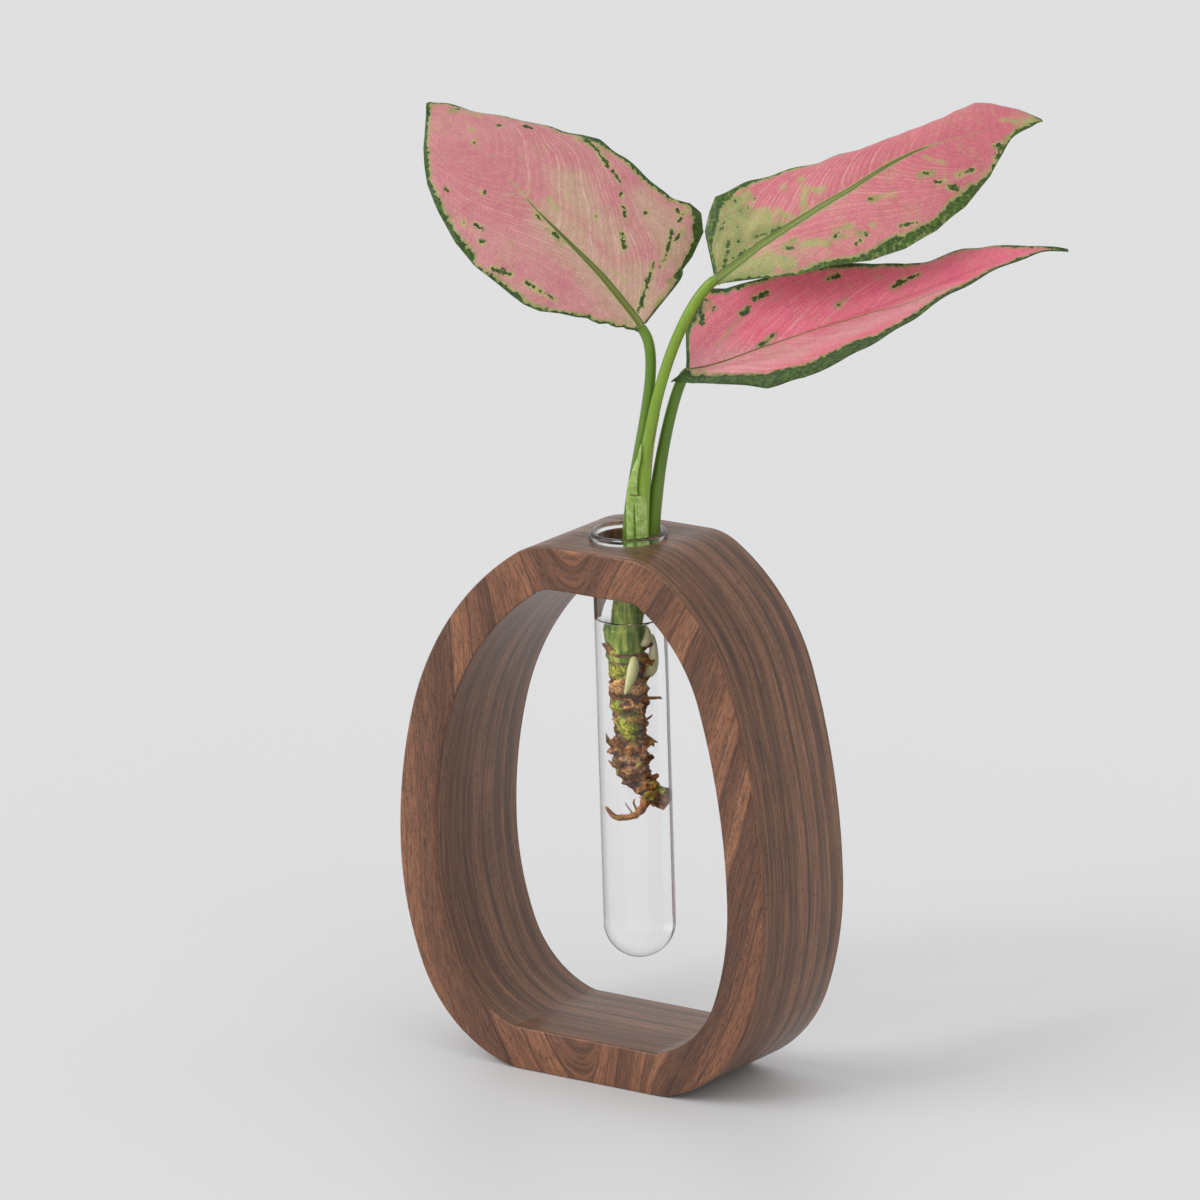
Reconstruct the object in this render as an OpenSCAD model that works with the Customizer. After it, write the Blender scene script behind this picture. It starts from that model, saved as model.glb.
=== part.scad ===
/* [Ring frame] */
// Overall height of the wooden ring
ring_h = 190; // [184:1:200]
// Overall width of the wooden ring
ring_w = 154; // [152:1:165]
// Depth of the ring, front face to back face
ring_d = 48; // [40:1:60]
// Thickness of the wooden band all round
band_t = 15.4; // [12:0.1:18]
// Height at which the ring is widest
widest_h = 73.8; // [70:0.1:78]
// Outside radius where the base flat turns up
base_corner_r = 26; // [20:0.25:30]
// Outside radius of the ring between its base corners and its sides
base_side_r = 51.5; // [48:0.25:54]
// Outside radius where the crown flat turns down on the left
left_corner_r = 29; // [24:0.25:32]
// Outside radius of the left shoulder
left_shoulder_r = 110.25; // [106:0.25:114]
// Outside radius where the crown flat turns down on the right
right_corner_r = 21.75; // [20:0.25:28]
// Outside radius of the right shoulder
right_shoulder_r = 71.75; // [68:0.25:76]
// Distance of the bore in the crown to the right of the middle
crown_shift = 7.5; // [7:0.1:9]
// Width of the small chamfer on the long edges
edge_ease = 0.8; // [0.4:0.1:1.5]

/* [Test tube] */
// Outside diameter of the glass tube
tube_d = 25; // [24:0.1:26]
// Gap between the rounded bottom of the tube and the base of the ring
base_gap = 25; // [12:1:45]
// Thickness of the glass wall
glass_t = 1.3; // [1:0.1:1.5]
// Thickness of the glass at the rounded bottom
glass_bottom_t = 1.8; // [1:0.1:3]
// Diameter of the rounded bead of the rim, seen in section
bead_d = 2.4; // [2:0.1:3]
// How far the bead stands out past the tube
bead_out = 0.9; // [0.7:0.1:1.2]
// Gap round the tube in the bore of the crown
bore_clearance = 0.2; // [0.1:0.05:0.4]

/* [Water] */
// Depth of the water surface below the crown
water_drop = 28; // [22:1:40]
// Gap between the water and the glass
water_clearance = 0.1; // [0.05:0.05:0.2]
// Gap round the cutting along the way that it lifts
lift_clearance = 0.4; // [0.3:0.1:1]

/* [Cutting] */
// Turn of the cutting in its tube
cutting_turn = 36.5; // [0:0.5:360]
// Gap between the cutting and the glass of the mouth
mouth_clearance = 0.35; // [0.3:0.05:1]
// Radius of the stem at its top
stem_top_r = 6.4; // [5.5:0.1:6.8]
// Radius of the stem where it meets the rootstock
stem_foot_r = 4.9; // [4:0.1:5.2]
// Depth of the top of the stem below the crown
stem_drop = 6; // [4:1:12]
// Height of the green stem
stem_h = 37; // [32:1:42]
// Height of the rootstock from the green stem down to the middle of its cut end
rootstock_h = 51; // [47:1:55]
// Radius of the rootstock at its cut end
rootstock_end_r = 3.9; // [3:0.1:4.2]
// Distance between the leaf scars that ring the stem and the rootstock
scar_pitch = 6.2; // [4:0.1:9]
// Height of the ridge at each leaf scar
scar_h = 0.35; // [0.1:0.05:0.5]

/* [Leaves] */
// Radius of a leaf stalk where it meets its blade
stalk_tip_r = 1.8; // [1.5:0.1:2]
// Radius of a leaf stalk along its length
stalk_r = 1.95; // [1.6:0.05:2.1]
// Radius of the outer stalks where they stand on the stem
stalk_foot_r = 2.4; // [2.1:0.1:2.5]
// Radius of the front stalk where it stands on the stem
front_stalk_foot_r = 2.75; // [2.3:0.05:2.8]
// Thickness of a leaf blade between its midrib and its margin
blade_t = 0.7; // [0.5:0.1:1]
// Thickness of a leaf blade at its margin
margin_t = 0.35; // [0.2:0.05:0.6]
// Height of the foot of the left blade above the stem
left_stalk_h = 78; // [65:1:90]
// Height of the foot of the upper blade above the stem
upper_stalk_h = 96; // [85:1:110]
// Height of the foot of the lower blade above the stem
lower_stalk_h = 63.2; // [55:0.1:75]
// Length of the left blade
left_blade_l = 106.7; // [90:0.1:125]
// Length of the upper blade
upper_blade_l = 122.7; // [100:0.1:140]
// Length of the lower blade
lower_blade_l = 135.8; // [110:0.1:150]
// Height of the midrib under a blade at its foot
midrib_h = 1.2; // [0.6:0.1:1.6]
// Thickness of the papery sheath round the foot of the stalks
sheath_t = 0.9; // [0.6:0.1:1]
// Height of the sheath above the stem at its tall edge
sheath_h = 28; // [22:1:30]

/* [Roots and buds] */
// Reach of the long root below the rootstock
long_root_l = 16; // [10:1:18]
// Radius of the long root where it leaves the rootstock
long_root_r = 1.1; // [0.8:0.1:1.4]
// Length of the short root
short_root_l = 4.8; // [3:0.2:5]
// Radius of the short root where it leaves the rootstock
short_root_r = 0.45; // [0.3:0.05:0.6]
// Length of the root stubs, from inside the rootstock to their tips
stub_l = 3.4; // [2.5:0.1:3.6]
// Radius of the root stubs at their foot
stub_r = 1.2; // [0.8:0.1:1.4]
// Length of the two pale buds
bud_l = 14; // [10:1:16]
// Greatest radius of the buds
bud_r = 1.3; // [1:0.1:1.4]

/* [Hidden] */
$fn = 96;

// One overrun serves every cut
over = 1;
half_w = ring_w / 2;
crown_rise = ring_h - widest_h;

// Directions in which the arcs of the ring meet, as the sine and cosine of the angle from
// straight down: pairs whose digits end, so that the arcs meet without a gap
down_shares = [0, 1];
level_shares = [1, 0];
base_corner_shares = [0.28, 0.96];
base_side_shares = [0.936, 0.352];
crown_corner_shares = [0.5376, 0.8432];
shoulder_shares = [0.96, 0.28];

// Tube sizes that follow from its diameter and wall
tube_r = tube_d / 2;
glass_in_r = tube_r - glass_t;
bead_r = bead_d / 2;
bead_mid_r = tube_r + bead_out - bead_r;
mouth_r = min(bead_mid_r - bead_r, glass_in_r);
tube_bottom_z = band_t + base_gap;
tube_l = ring_h + bead_d - tube_bottom_z;
tube_round_z = tube_bottom_z + tube_r;
bore_r = tube_r + bore_clearance;

// Heights that follow from the crown
water_level = ring_h - water_drop;
stem_top_z = ring_h - stem_drop;
stem_foot_z = stem_top_z - stem_h;
rootstock_end_z = stem_foot_z - rootstock_h;

// Stem and stalks stand off the axis, so that the cutting leans on the mouth
stem_top_x = mouth_r - mouth_clearance - stem_top_r;
stem_x_shares = [-0.24, -0.76, 0.12, 1];
stem_z_shares = [0, 0.35, 0.65, 1];
stem_foot_x = stem_top_x * stem_x_shares[0];
scar_place_shares = [0, 0.55, 0.8];
scar_ridge_shares = [0, 0, 1];

// Feet of the three stalks on top of the stem, side by side with a small gap
stalk_gap = 0.1;
stalk_spread = stem_top_r - stalk_foot_r - stalk_gap;
stalk_back_y = stalk_foot_r * 0.4;
front_reach = stalk_foot_r + front_stalk_foot_r + stalk_gap;
front_stalk_y = stalk_back_y - sqrt(pow(front_reach, 2) - pow(stalk_spread, 2));
stem_top = [stem_top_x, 0, stem_top_z];

// Rootstock, which hangs from the stem and bends over until it leans on the glass
rootstock_dip = 30;
rootstock_end_x = mouth_r - mouth_clearance - rootstock_end_r * sin(rootstock_dip);
rootstock_path = [
    [stem_foot_x, 0, stem_foot_z],
    [stem_foot_x, 0, stem_foot_z - rootstock_h * 0.55],
    [rootstock_end_x - rootstock_h * 0.2 * cos(rootstock_dip), 0,
        rootstock_end_z + rootstock_h * 0.2 * sin(rootstock_dip)],
    [rootstock_end_x, 0, rootstock_end_z]];

// Foot of each blade as shares of the height of its stalk, then its heading, pitch and roll
left_foot_shares = [0.03, 0.057, 1];
left_turns = [63.4, 42.9, -45];
upper_foot_shares = [0.293, -0.034, 1];
upper_turns = [-82.4, 23.1, 55];
lower_foot_shares = [0.282, 0, 1];
lower_turns = [-94.4, 17.5, 58];

// Places along a blade, and its half widths there as shares of its length
blade_place_shares = [0, 0.03, 0.1, 0.2, 0.3, 0.4, 0.5, 0.6, 0.7, 0.8, 0.9, 0.96, 1];
left_blade_left_shares = [0, 0.035, 0.1, 0.175, 0.25, 0.28, 0.295, 0.29, 0.25, 0.195, 0.115, 0.05, 0.004];
left_blade_right_shares = [0, 0.175, 0.34, 0.39, 0.37, 0.355, 0.345, 0.31, 0.245, 0.17, 0.095, 0.05,
    0.004];
upper_blade_left_shares = [0, 0.12, 0.2, 0.19, 0.165, 0.15, 0.14, 0.135, 0.14, 0.15, 0.12, 0.07, 0.004];
upper_blade_right_shares = [0, 0.02, 0.065, 0.13, 0.17, 0.22, 0.245, 0.235, 0.195, 0.125, 0.045, 0.02,
    0.004];
lower_blade_left_shares = [0, 0.09, 0.17, 0.18, 0.18, 0.165, 0.14, 0.105, 0.085, 0.06, 0.03, 0.015, 0.004];
lower_blade_right_shares = [0, 0.04, 0.095, 0.18, 0.205, 0.2, 0.165, 0.115, 0.075, 0.055, 0.035, 0.015,
    0.004];
// Places across half a blade, closer together at the midrib
across_shares = [0, 0.08, 0.3, 0.55, 0.8, 1];

WOOD = [0.45, 0.33, 0.27];
GLASS = [0.86, 0.92, 0.93, 0.35];
WATER = [0.80, 0.88, 0.90, 0.45];
GREEN = [0.36, 0.55, 0.16];
PALE_GREEN = [0.66, 0.76, 0.42];
BROWN = [0.40, 0.26, 0.12];
PINK = [0.84, 0.52, 0.54];

// Radius of the arc that reaches the widest point, after a corner and a second arc
function last_r(rise, r, meets) =
    (rise - r[0] * (1 - meets[0][1]) - r[1] * (meets[0][1] - meets[1][1])) / meets[1][1];

// Centre of the next arc, which meets the last one in the given direction
function next_centre(centre, r, next_r, meet) = centre + (r - next_r) * [meet[0], -meet[1]];

// Radii, then centres, of the three arcs that carry the ring from a flat at z = 0 to its side
function arc_radii(rise, r, meets) = [r[0], r[1], last_r(rise, r, meets)];
function arc_centres(rise, radii, meets) =
    let (last = [half_w - radii[2], rise],
        second = next_centre(last, radii[2], radii[1], meets[1]))
    [next_centre(second, radii[1], radii[0], meets[0]), second, last];

// Section of the band with its long edges eased
module band_section(outer) {
    inner = outer - band_t;
    y = ring_d / 2;
    e = edge_ease;
    polygon([[inner + e, -y], [outer - e, -y], [outer, e - y], [outer, y - e],
        [outer - e, y], [inner + e, y], [inner, y - e], [inner, e - y]]);
}

// Curved length of the band between two directions
module band_arc(centre, outer, from, to) {
    reach = 2 * outer;
    translate([centre[0], 0, centre[1]])
        rotate([90, 0, 0])
            intersection() {
                rotate([0, 0, 180])
                    rotate_extrude($fn = 360)
                        band_section(outer);
                linear_extrude(ring_d + 2 * over, center = true)
                    polygon([[0, 0], reach * [from[0], -from[1]], reach * [to[0], -to[1]]]);
            }
}

// Straight length of the band between two places along X, its outer side at z = 0
module band_bar(from, to) {
    translate([from, 0, 0])
        rotate([90, 0, 90])
            linear_extrude(to - from)
                rotate([0, 0, -90])
                    band_section(0);
}

// Quarter of the ring on the right, from the end of a flat at z = 0 to the widest point
module ring_quarter(rise, radii, meets) {
    centres = arc_centres(rise, radii, meets);
    stops = [down_shares, meets[0], meets[1], level_shares];
    for (i = [0:2])
        band_arc(centres[i], radii[i], stops[i], stops[i + 1]);
}

// Half of the ring that stands on a flat at z = 0
module ring_half(rise, left_r, right_r, meets) {
    left = arc_radii(rise, left_r, meets);
    right = arc_radii(rise, right_r, meets);
    band_bar(-arc_centres(rise, left, meets)[0][0], arc_centres(rise, right, meets)[0][0]);
    ring_quarter(rise, right, meets);
    mirror([1, 0, 0])
        ring_quarter(rise, left, meets);
}

module lower_half() {
    radii = [base_corner_r, base_side_r];
    ring_half(widest_h, radii, radii, [base_corner_shares, base_side_shares]);
}

module upper_half() {
    translate([0, 0, ring_h])
        mirror([0, 0, 1])
            ring_half(crown_rise, [left_corner_r, left_shoulder_r],
                [right_corner_r, right_shoulder_r], [crown_corner_shares, shoulder_shares]);
}

module ring_frame() {
    color(WOOD)
        difference() {
            union() {
                lower_half();
                upper_half();
            }
            translate([crown_shift, 0, ring_h - band_t - over])
                cylinder(h = band_t + 2 * over, r = bore_r);
        }
}

// Glass tube with a rounded bottom and a beaded rim whose flat foot seats on the crown
module test_tube() {
    inner_floor_z = tube_bottom_z + glass_bottom_t + glass_in_r;
    seat_r = bead_mid_r + bead_r * 0.8;
    color(GLASS)
        translate([crown_shift, 0, 0]) {
            difference() {
                union() {
                    translate([0, 0, tube_round_z])
                        cylinder(h = ring_h + bead_r - tube_round_z, r = tube_r);
                    translate([0, 0, tube_round_z])
                        sphere(r = tube_r);
                    translate([0, 0, ring_h])
                        cylinder(h = bead_r * 0.4, r = seat_r);
                }
                translate([0, 0, inner_floor_z])
                    cylinder(h = tube_l, r = glass_in_r);
                translate([0, 0, inner_floor_z])
                    sphere(r = glass_in_r);
            }
            translate([0, 0, ring_h + bead_r])
                rotate_extrude()
                    translate([bead_mid_r, 0])
                        circle(r = bead_r, $fn = 48);
        }
}

// Water with the room left open through which the cutting lifts
module water() {
    r = glass_in_r - water_clearance;
    floor_z = tube_bottom_z + glass_bottom_t + glass_in_r;
    slot_floor_z = rootstock_end_z - long_root_l / 2 - lift_clearance;
    back = (stem_foot_r + stem_top_r) / 2 + scar_h + lift_clearance;
    front = stem_foot_r + scar_h + 2 * bud_r + stalk_gap + lift_clearance;
    color(WATER)
        in_tube()
            difference() {
                union() {
                    translate([0, 0, floor_z])
                        cylinder(h = water_level - floor_z, r = r);
                    translate([0, 0, floor_z])
                        sphere(r = r);
                }
                translate([-tube_d, -front, slot_floor_z])
                    cube([2 * tube_d, front + back, water_level]);
            }
}

// Frame of the cutting: the tube's axis, turned so that X runs along the spread of the leaves
module in_tube() {
    translate([crown_shift, 0, 0])
        rotate([0, 0, cutting_turn])
            children();
}

function unit(v) = v / norm(v);
function bezier(p, t) = pow(1 - t, 3) * p[0] + 3 * t * pow(1 - t, 2) * p[1]
    + 3 * t * t * (1 - t) * p[2] + pow(t, 3) * p[3];
function bezier_dir(p, t) = unit(pow(1 - t, 2) * (p[1] - p[0])
    + 2 * t * (1 - t) * (p[2] - p[1]) + t * t * (p[3] - p[2]));

// Circle of points round a place, square to a direction
function ring_of(place, dir, r, sides) =
    let (u = unit(cross([0, 1, 0], dir)), v = cross(dir, u))
    [for (i = [0:sides - 1]) place + r * (cos(360 * i / sides) * u + sin(360 * i / sides) * v)];

// Closed solid through rings of equal count
module skin(rings) {
    n = len(rings[0]);
    last = len(rings) - 1;
    sides = [for (i = [0:last - 1], j = [0:n - 1], k = [0, 1])
        let (a = i * n + j, b = i * n + (j + 1) % n)
        k == 0 ? [a, b + n, b] : [a, a + n, b + n]];
    foot = [[for (j = [0:n - 1]) j]];
    top = [[for (j = [n - 1:-1:0]) last * n + j]];
    polyhedron([for (ring = rings) each ring], concat(sides, foot, top));
}

// Rod along a curve, whose radius runs from foot over middle to tip
module rod(path, radii, steps, sides) {
    skin([for (i = [0:steps])
        let (t = i / steps, r = radii[0] * pow(1 - t, 4) + radii[1] * (1 - pow(1 - t, 4) - pow(t, 4))
            + radii[2] * pow(t, 4))
        ring_of(bezier(path, t), bezier_dir(path, t), r, sides)]);
}

// Height of the ridge that a leaf scar leaves, at share t of a length with some scars
function scar_steps(scars) = concat([for (k = [0:scars - 1], i = [0:len(scar_place_shares) - 1])
    [(k + scar_place_shares[i]) / scars, scar_h * scar_ridge_shares[i]]], [[1, 0]]);

module stem() {
    path = [for (i = [0:3])
        [stem_top_x * stem_x_shares[i], 0, stem_foot_z + stem_h * stem_z_shares[i]]];
    color(GREEN)
        in_tube()
            skin([for (s = scar_steps(round(stem_h / scar_pitch)))
                let (r = stem_foot_r + (stem_top_r - stem_foot_r) * s[0] + s[1])
                ring_of(bezier(path, s[0]), [0, 0, 1], r, 20)]);
}

module rootstock() {
    color(BROWN)
        in_tube()
            skin([for (s = scar_steps(round(rootstock_h * 1.15 / scar_pitch)))
                let (r = stem_foot_r + (rootstock_end_r - stem_foot_r) * s[0] + s[1])
                ring_of(bezier(rootstock_path, s[0]), bezier_dir(rootstock_path, s[0]), r, 16)]);
}

// Point of the rootstock's surface at share t, its side given by an angle from +X
function rootstock_side(t, angle, depth) =
    bezier(rootstock_path, t) + (stem_foot_r - depth) * [cos(angle), sin(angle), 0];

module root_long() {
    foot = rootstock_path[3] - [rootstock_end_r * 1.55, rootstock_end_r * 0.15, -rootstock_end_r * 0.35];
    path = [foot, foot + long_root_l * [-0.12, -0.03, -0.5],
        foot + long_root_l * [-0.5, -0.06, -0.5], foot + long_root_l * [-0.68, -0.03, -0.17]];
    color(BROWN)
        in_tube()
            rod(path, [long_root_r, long_root_r * 0.85, long_root_r / 2], 12, 8);
}

module root_short() {
    foot = rootstock_side(0.17, -8, short_root_l * 0.2);
    path = [foot, foot + short_root_l * [0.35, 0, 0.05],
        foot + short_root_l * [0.7, -0.1, 0.05], foot + short_root_l * [1, -0.15, 0]];
    color(BROWN)
        in_tube()
            rod(path, [short_root_r, short_root_r * 0.8, short_root_r / 2], 6, 8);
}

module root_stubs() {
    color(BROWN)
        in_tube()
            for (stub = [[0.03, 176], [0.28, 196], [0.3, 22], [0.48, 160]]) {
                foot = rootstock_side(stub[0], stub[1], stub_l * 0.35);
                dir = [cos(stub[1]), sin(stub[1]), -0.25];
                path = [foot, foot + stub_l * 0.3 * dir, foot + stub_l * 0.7 * dir, foot + stub_l * dir];
                rod(path, [stub_r, stub_r * 0.9, stub_r / 3], 4, 8);
            }
}

// Pale bud that leaves the rootstock at share t and stands up beside it
module bud(t, angle) {
    out = [cos(angle), sin(angle), 0];
    foot = rootstock_side(t, angle, bud_r);
    beside = foot + (2 * bud_r + scar_h + stalk_gap) * out;
    path = [foot, beside, beside + [0, 0, bud_l * 0.35], beside + [0, 0, bud_l]];
    color(PALE_GREEN)
        in_tube()
            rod(path, [bud_r * 0.6, bud_r * 1.1, bud_r * 0.25], 10, 10);
}

module bud_upper() {
    bud(0.05, -8);
}

module bud_lower() {
    bud(0.14, -96);
}

// Direction of a blade from its heading and pitch
function blade_dir(turns) =
    [-sin(turns[0]) * cos(turns[1]), cos(turns[0]) * cos(turns[1]), sin(turns[1])];

// Stalk from the top of the stem to the foot of its blade
module stalk(x, y, foot_r, h, foot_shares, turns, straight_share, bend_share) {
    from = stem_top + [x, y, 0];
    to = stem_top + h * foot_shares;
    path = [from, from + [0, 0, h * straight_share], to - h * bend_share * blade_dir(turns), to];
    color(GREEN)
        in_tube()
            rod(path, [foot_r, stalk_r, stalk_tip_r], 20, 14);
}

module stalk_left() {
    stalk(-stalk_spread, stalk_back_y, stalk_foot_r, left_stalk_h, left_foot_shares, left_turns,
        0.38, 0.18);
}

module stalk_upper() {
    stalk(0, front_stalk_y, front_stalk_foot_r, upper_stalk_h, upper_foot_shares, upper_turns, 0.57, 0.1);
}

module stalk_lower() {
    stalk(stalk_spread, stalk_back_y, stalk_foot_r, lower_stalk_h, lower_foot_shares, lower_turns,
        0.32, 0.08);
}

// Sleeve of old leaf sheath in front of the stalks, cut on a slant
module sheath() {
    in_r = front_stalk_foot_r - front_stalk_y + stalk_gap;
    slant = 55;
    color(PALE_GREEN)
        in_tube()
            translate(stem_top)
                difference() {
                    rotate([0, 0, 200])
                        rotate_extrude(angle = 140)
                            translate([in_r, 0])
                                square([sheath_t, sheath_h]);
                    translate([-in_r - sheath_t, -2 * in_r, sheath_h])
                        rotate([0, slant, 0])
                            cube([4 * in_r, 4 * in_r, 2 * sheath_h]);
                }
}

// Half width of a blade at share t of its length
function blade_width(l, shares, t) = stalk_tip_r * pow(1 - t, 12)
    + l * lookup(t, [for (i = [0:len(shares) - 1]) [blade_place_shares[i], shares[i]]]);

// Place and upward normal on half a section, which starts folded up and curls down
function section_at(w, s, fold, curl) = let (a = fold - curl * s, k = w * 180 / (curl * PI))
    [[k * (sin(fold) - sin(a)), k * (cos(a) - cos(fold))], [-sin(a), cos(a)]];

// Upper or lower point of the blade at share t along it and s across it
function blade_point(l, widths, fold, curls, sway, t, s, upper) =
    let (side = s < 0 ? 0 : 1, m = side == 0 ? -1 : 1,
        curl = curls[side][0] + (curls[side][1] - curls[side][0]) * t,
        q = section_at(blade_width(l, widths[side], t), abs(s), fold[side], curl),
        normal = s == 0 ? [0, 1] : q[1],
        foot = stalk_tip_r * pow(1 - t, 20) * sqrt(1 - s * s),
        rib = midrib_h * (1 - t) * max(0, 1 - abs(s) / across_shares[2]),
        body = (1 - pow(1 - t, 20)) * ((blade_t - margin_t) * (1 - s * s) + rib),
        off = upper ? foot : -foot - body - margin_t,
        x = m * (q[0][0] + normal[0] * off),
        z = q[0][1] + normal[1] * off,
        twist = sway[3] * t)
    [l * sway[0] * sin(180 * pow(t, sway[1])) + x * cos(twist) + z * sin(twist),
        l * t,
        l * sway[2] * sin(180 * t) - x * sin(twist) + z * cos(twist)];

// Blade of a leaf from its foot, standing on the end of its stalk
module blade(l, h, foot_shares, turns, widths, fold, curls, sway) {
    half = len(across_shares) - 1;
    across = [for (i = [-half:half]) sign(i) * across_shares[abs(i)]];
    along = concat([0, 0.015], [for (i = [1:len(blade_place_shares) - 1]) blade_place_shares[i]]);
    color(PINK)
        in_tube()
            translate(stem_top + h * foot_shares)
                rotate([0, 0, turns[0]])
                    rotate([turns[1], 0, 0])
                        rotate([0, turns[2], 0])
                            skin([for (t = along) concat(
                                [for (i = [0:2 * half])
                                    blade_point(l, widths, fold, curls, sway, t, across[i], true)],
                                [for (i = [2 * half:-1:0])
                                    blade_point(l, widths, fold, curls, sway, t, across[i], false)])]);
}

module blade_left() {
    blade(left_blade_l, left_stalk_h, left_foot_shares, left_turns,
        [left_blade_left_shares, left_blade_right_shares],
        [8, 8], [[20, 20], [10, 80]], [0.016, 0.6, 0.05, -10]);
}

module blade_upper() {
    blade(upper_blade_l, upper_stalk_h, upper_foot_shares, upper_turns,
        [upper_blade_left_shares, upper_blade_right_shares],
        [12, 12], [[10, 170], [15, 35]], [-0.06, 1.2, 0.06, 0]);
}

module blade_lower() {
    blade(lower_blade_l, lower_stalk_h, lower_foot_shares, lower_turns,
        [lower_blade_left_shares, lower_blade_right_shares],
        [15, 38], [[10, 50], [10, 10]], [-0.03, 5, 0.03, -25]);
}

ring_frame();
test_tube();
water();
stem();
rootstock();
root_long();
root_short();
root_stubs();
bud_upper();
bud_lower();
sheath();
stalk_left();
stalk_upper();
stalk_lower();
blade_left();
blade_upper();
blade_lower();
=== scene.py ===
"""Framed vase: a walnut ring with a hanging glass tube that holds a pink-leaved cutting in water."""
import math

import bpy
import numpy as np
from mathutils import Matrix, Vector, noise

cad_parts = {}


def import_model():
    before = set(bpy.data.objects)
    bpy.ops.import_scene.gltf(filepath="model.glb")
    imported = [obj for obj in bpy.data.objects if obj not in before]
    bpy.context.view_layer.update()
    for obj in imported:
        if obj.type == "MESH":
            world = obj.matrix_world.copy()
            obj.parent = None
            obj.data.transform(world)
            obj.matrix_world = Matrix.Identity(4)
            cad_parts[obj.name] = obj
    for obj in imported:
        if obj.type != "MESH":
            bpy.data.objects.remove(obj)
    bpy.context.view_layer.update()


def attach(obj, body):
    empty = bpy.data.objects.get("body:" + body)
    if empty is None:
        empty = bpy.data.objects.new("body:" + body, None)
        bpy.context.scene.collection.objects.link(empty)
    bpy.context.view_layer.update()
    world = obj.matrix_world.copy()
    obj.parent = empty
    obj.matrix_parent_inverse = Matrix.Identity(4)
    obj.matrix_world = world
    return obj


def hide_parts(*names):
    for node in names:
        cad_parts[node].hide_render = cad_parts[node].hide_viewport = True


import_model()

MM = 0.001


# ---------------------------------------------------------------- helpers for shapes


def pick(*objs):
    """Makes objs the only selected ones, and the first of them active."""
    if bpy.context.object and bpy.context.object.mode != "OBJECT":
        bpy.ops.object.mode_set(mode="OBJECT")
    bpy.ops.object.select_all(action="DESELECT")
    for obj in objs:
        obj.select_set(True)
    bpy.context.view_layer.objects.active = objs[0]


def edit_all(obj):
    pick(obj)
    bpy.ops.object.mode_set(mode="EDIT")
    bpy.ops.mesh.select_all(action="SELECT")


def close(obj, gap):
    """Merges points that lie closer than gap in mm and turns every face outwards."""
    edit_all(obj)
    bpy.ops.mesh.remove_doubles(threshold=gap * MM)
    bpy.ops.mesh.normals_make_consistent(inside=False)
    bpy.ops.object.mode_set(mode="OBJECT")


def apply(obj, kind, **values):
    """Adds a modifier with the given values and applies it."""
    pick(obj)
    mod = obj.modifiers.new(kind.title(), kind)
    for name, value in values.items():
        setattr(mod, name, value)
    bpy.ops.object.modifier_apply(modifier=mod.name)


def smooth(obj, degrees=60):
    pick(obj)
    bpy.ops.object.shade_smooth_by_angle(angle=math.radians(degrees))
    return obj


def join(name, *objs):
    """Joins pieces into the first one and names the result."""
    pick(*objs)
    if len(objs) > 1:
        bpy.ops.object.join()
    objs[0].name = objs[0].data.name = name
    return objs[0]


def put(name, data):
    """New object in the scene."""
    obj = bpy.data.objects.new(name, data)
    bpy.context.scene.collection.objects.link(obj)
    return obj


def lathe(name, profile, steps, soft):
    """Turns a profile of (radius, height) points in metres about the tube's axis."""
    mesh = bpy.data.meshes.new(name)
    mesh.from_pydata([(CROWN_X + r, 0, z) for r, z in profile], [(i, i + 1) for i in range(len(profile) - 1)], [])
    obj = put(name, mesh)
    edit_all(obj)
    bpy.ops.mesh.spin(steps=steps, angle=2 * math.pi, center=(CROWN_X, 0, 0), axis=(0, 0, 1))
    close(obj, 0.01)
    return smooth(obj, soft)


def arc(centre, radius, start, end, steps=24):
    """Points on a circle in a profile, from one angle to another in degrees, counted from +radius up."""
    turns = [math.radians(start + (end - start) * i / steps) for i in range(steps + 1)]
    return [(centre[0] + radius * math.cos(a), centre[1] + radius * math.sin(a)) for a in turns]


def bezier(p, t):
    return (1 - t) ** 3 * p[0] + 3 * t * (1 - t) ** 2 * p[1] + 3 * t * t * (1 - t) * p[2] + t**3 * p[3]


def direction(p, t):
    """Unit vector along the curve at t."""
    return (bezier(p, min(1, t + 0.01)) - bezier(p, max(0, t - 0.01))).normalized()


def shares(steps):
    return [i / steps for i in range(steps + 1)]


def table(pairs, t):
    """Value at t of a table of (place, value) pairs."""
    return np.interp(t, *zip(*pairs))


def rod(name, points, radii, sides=16):
    """Round rod along points with a radius at each, closed at both ends."""
    curve = bpy.data.curves.new(name, "CURVE")
    curve.dimensions = "3D"
    curve.bevel_depth = 1.0
    curve.bevel_resolution = sides // 4 - 1
    curve.use_fill_caps = True
    line = curve.splines.new("POLY")
    line.points.add(len(points) - 1)
    for place, p, r in zip(line.points, points, radii):
        place.co = (*p, 1)
        place.radius = r
    pick(put(name, curve))
    bpy.ops.object.convert(target="MESH")
    close(bpy.context.object, 0.002)
    return bpy.context.object


def write(mesh, **fields):
    """Writes a value for every point of a mesh under each of the given names."""
    for label, values in fields.items():
        mesh.attributes.new(label, "FLOAT", "POINT").data.foreach_set("value", np.array(values, np.float32))


def dress(obj, body, slot, materials, *nodes):
    """Gives a finished piece its materials and its body, and hides the CAD nodes that it stands for. The slot is not
    used.
    """
    for m in materials:
        obj.data.materials.append(m)
    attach(obj, body)
    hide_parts(*nodes)


# ---------------------------------------------------------------- helpers for finishes


def new_node(tree, kind, settings, *inputs, **named):
    """Adds a node, sets its properties, and sets or links its inputs in their order or by name."""
    node = tree.nodes.new("ShaderNode" + kind)
    for key, value in settings.items():
        setattr(node, key, value)
    return wire(node, *inputs, **named)


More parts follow.
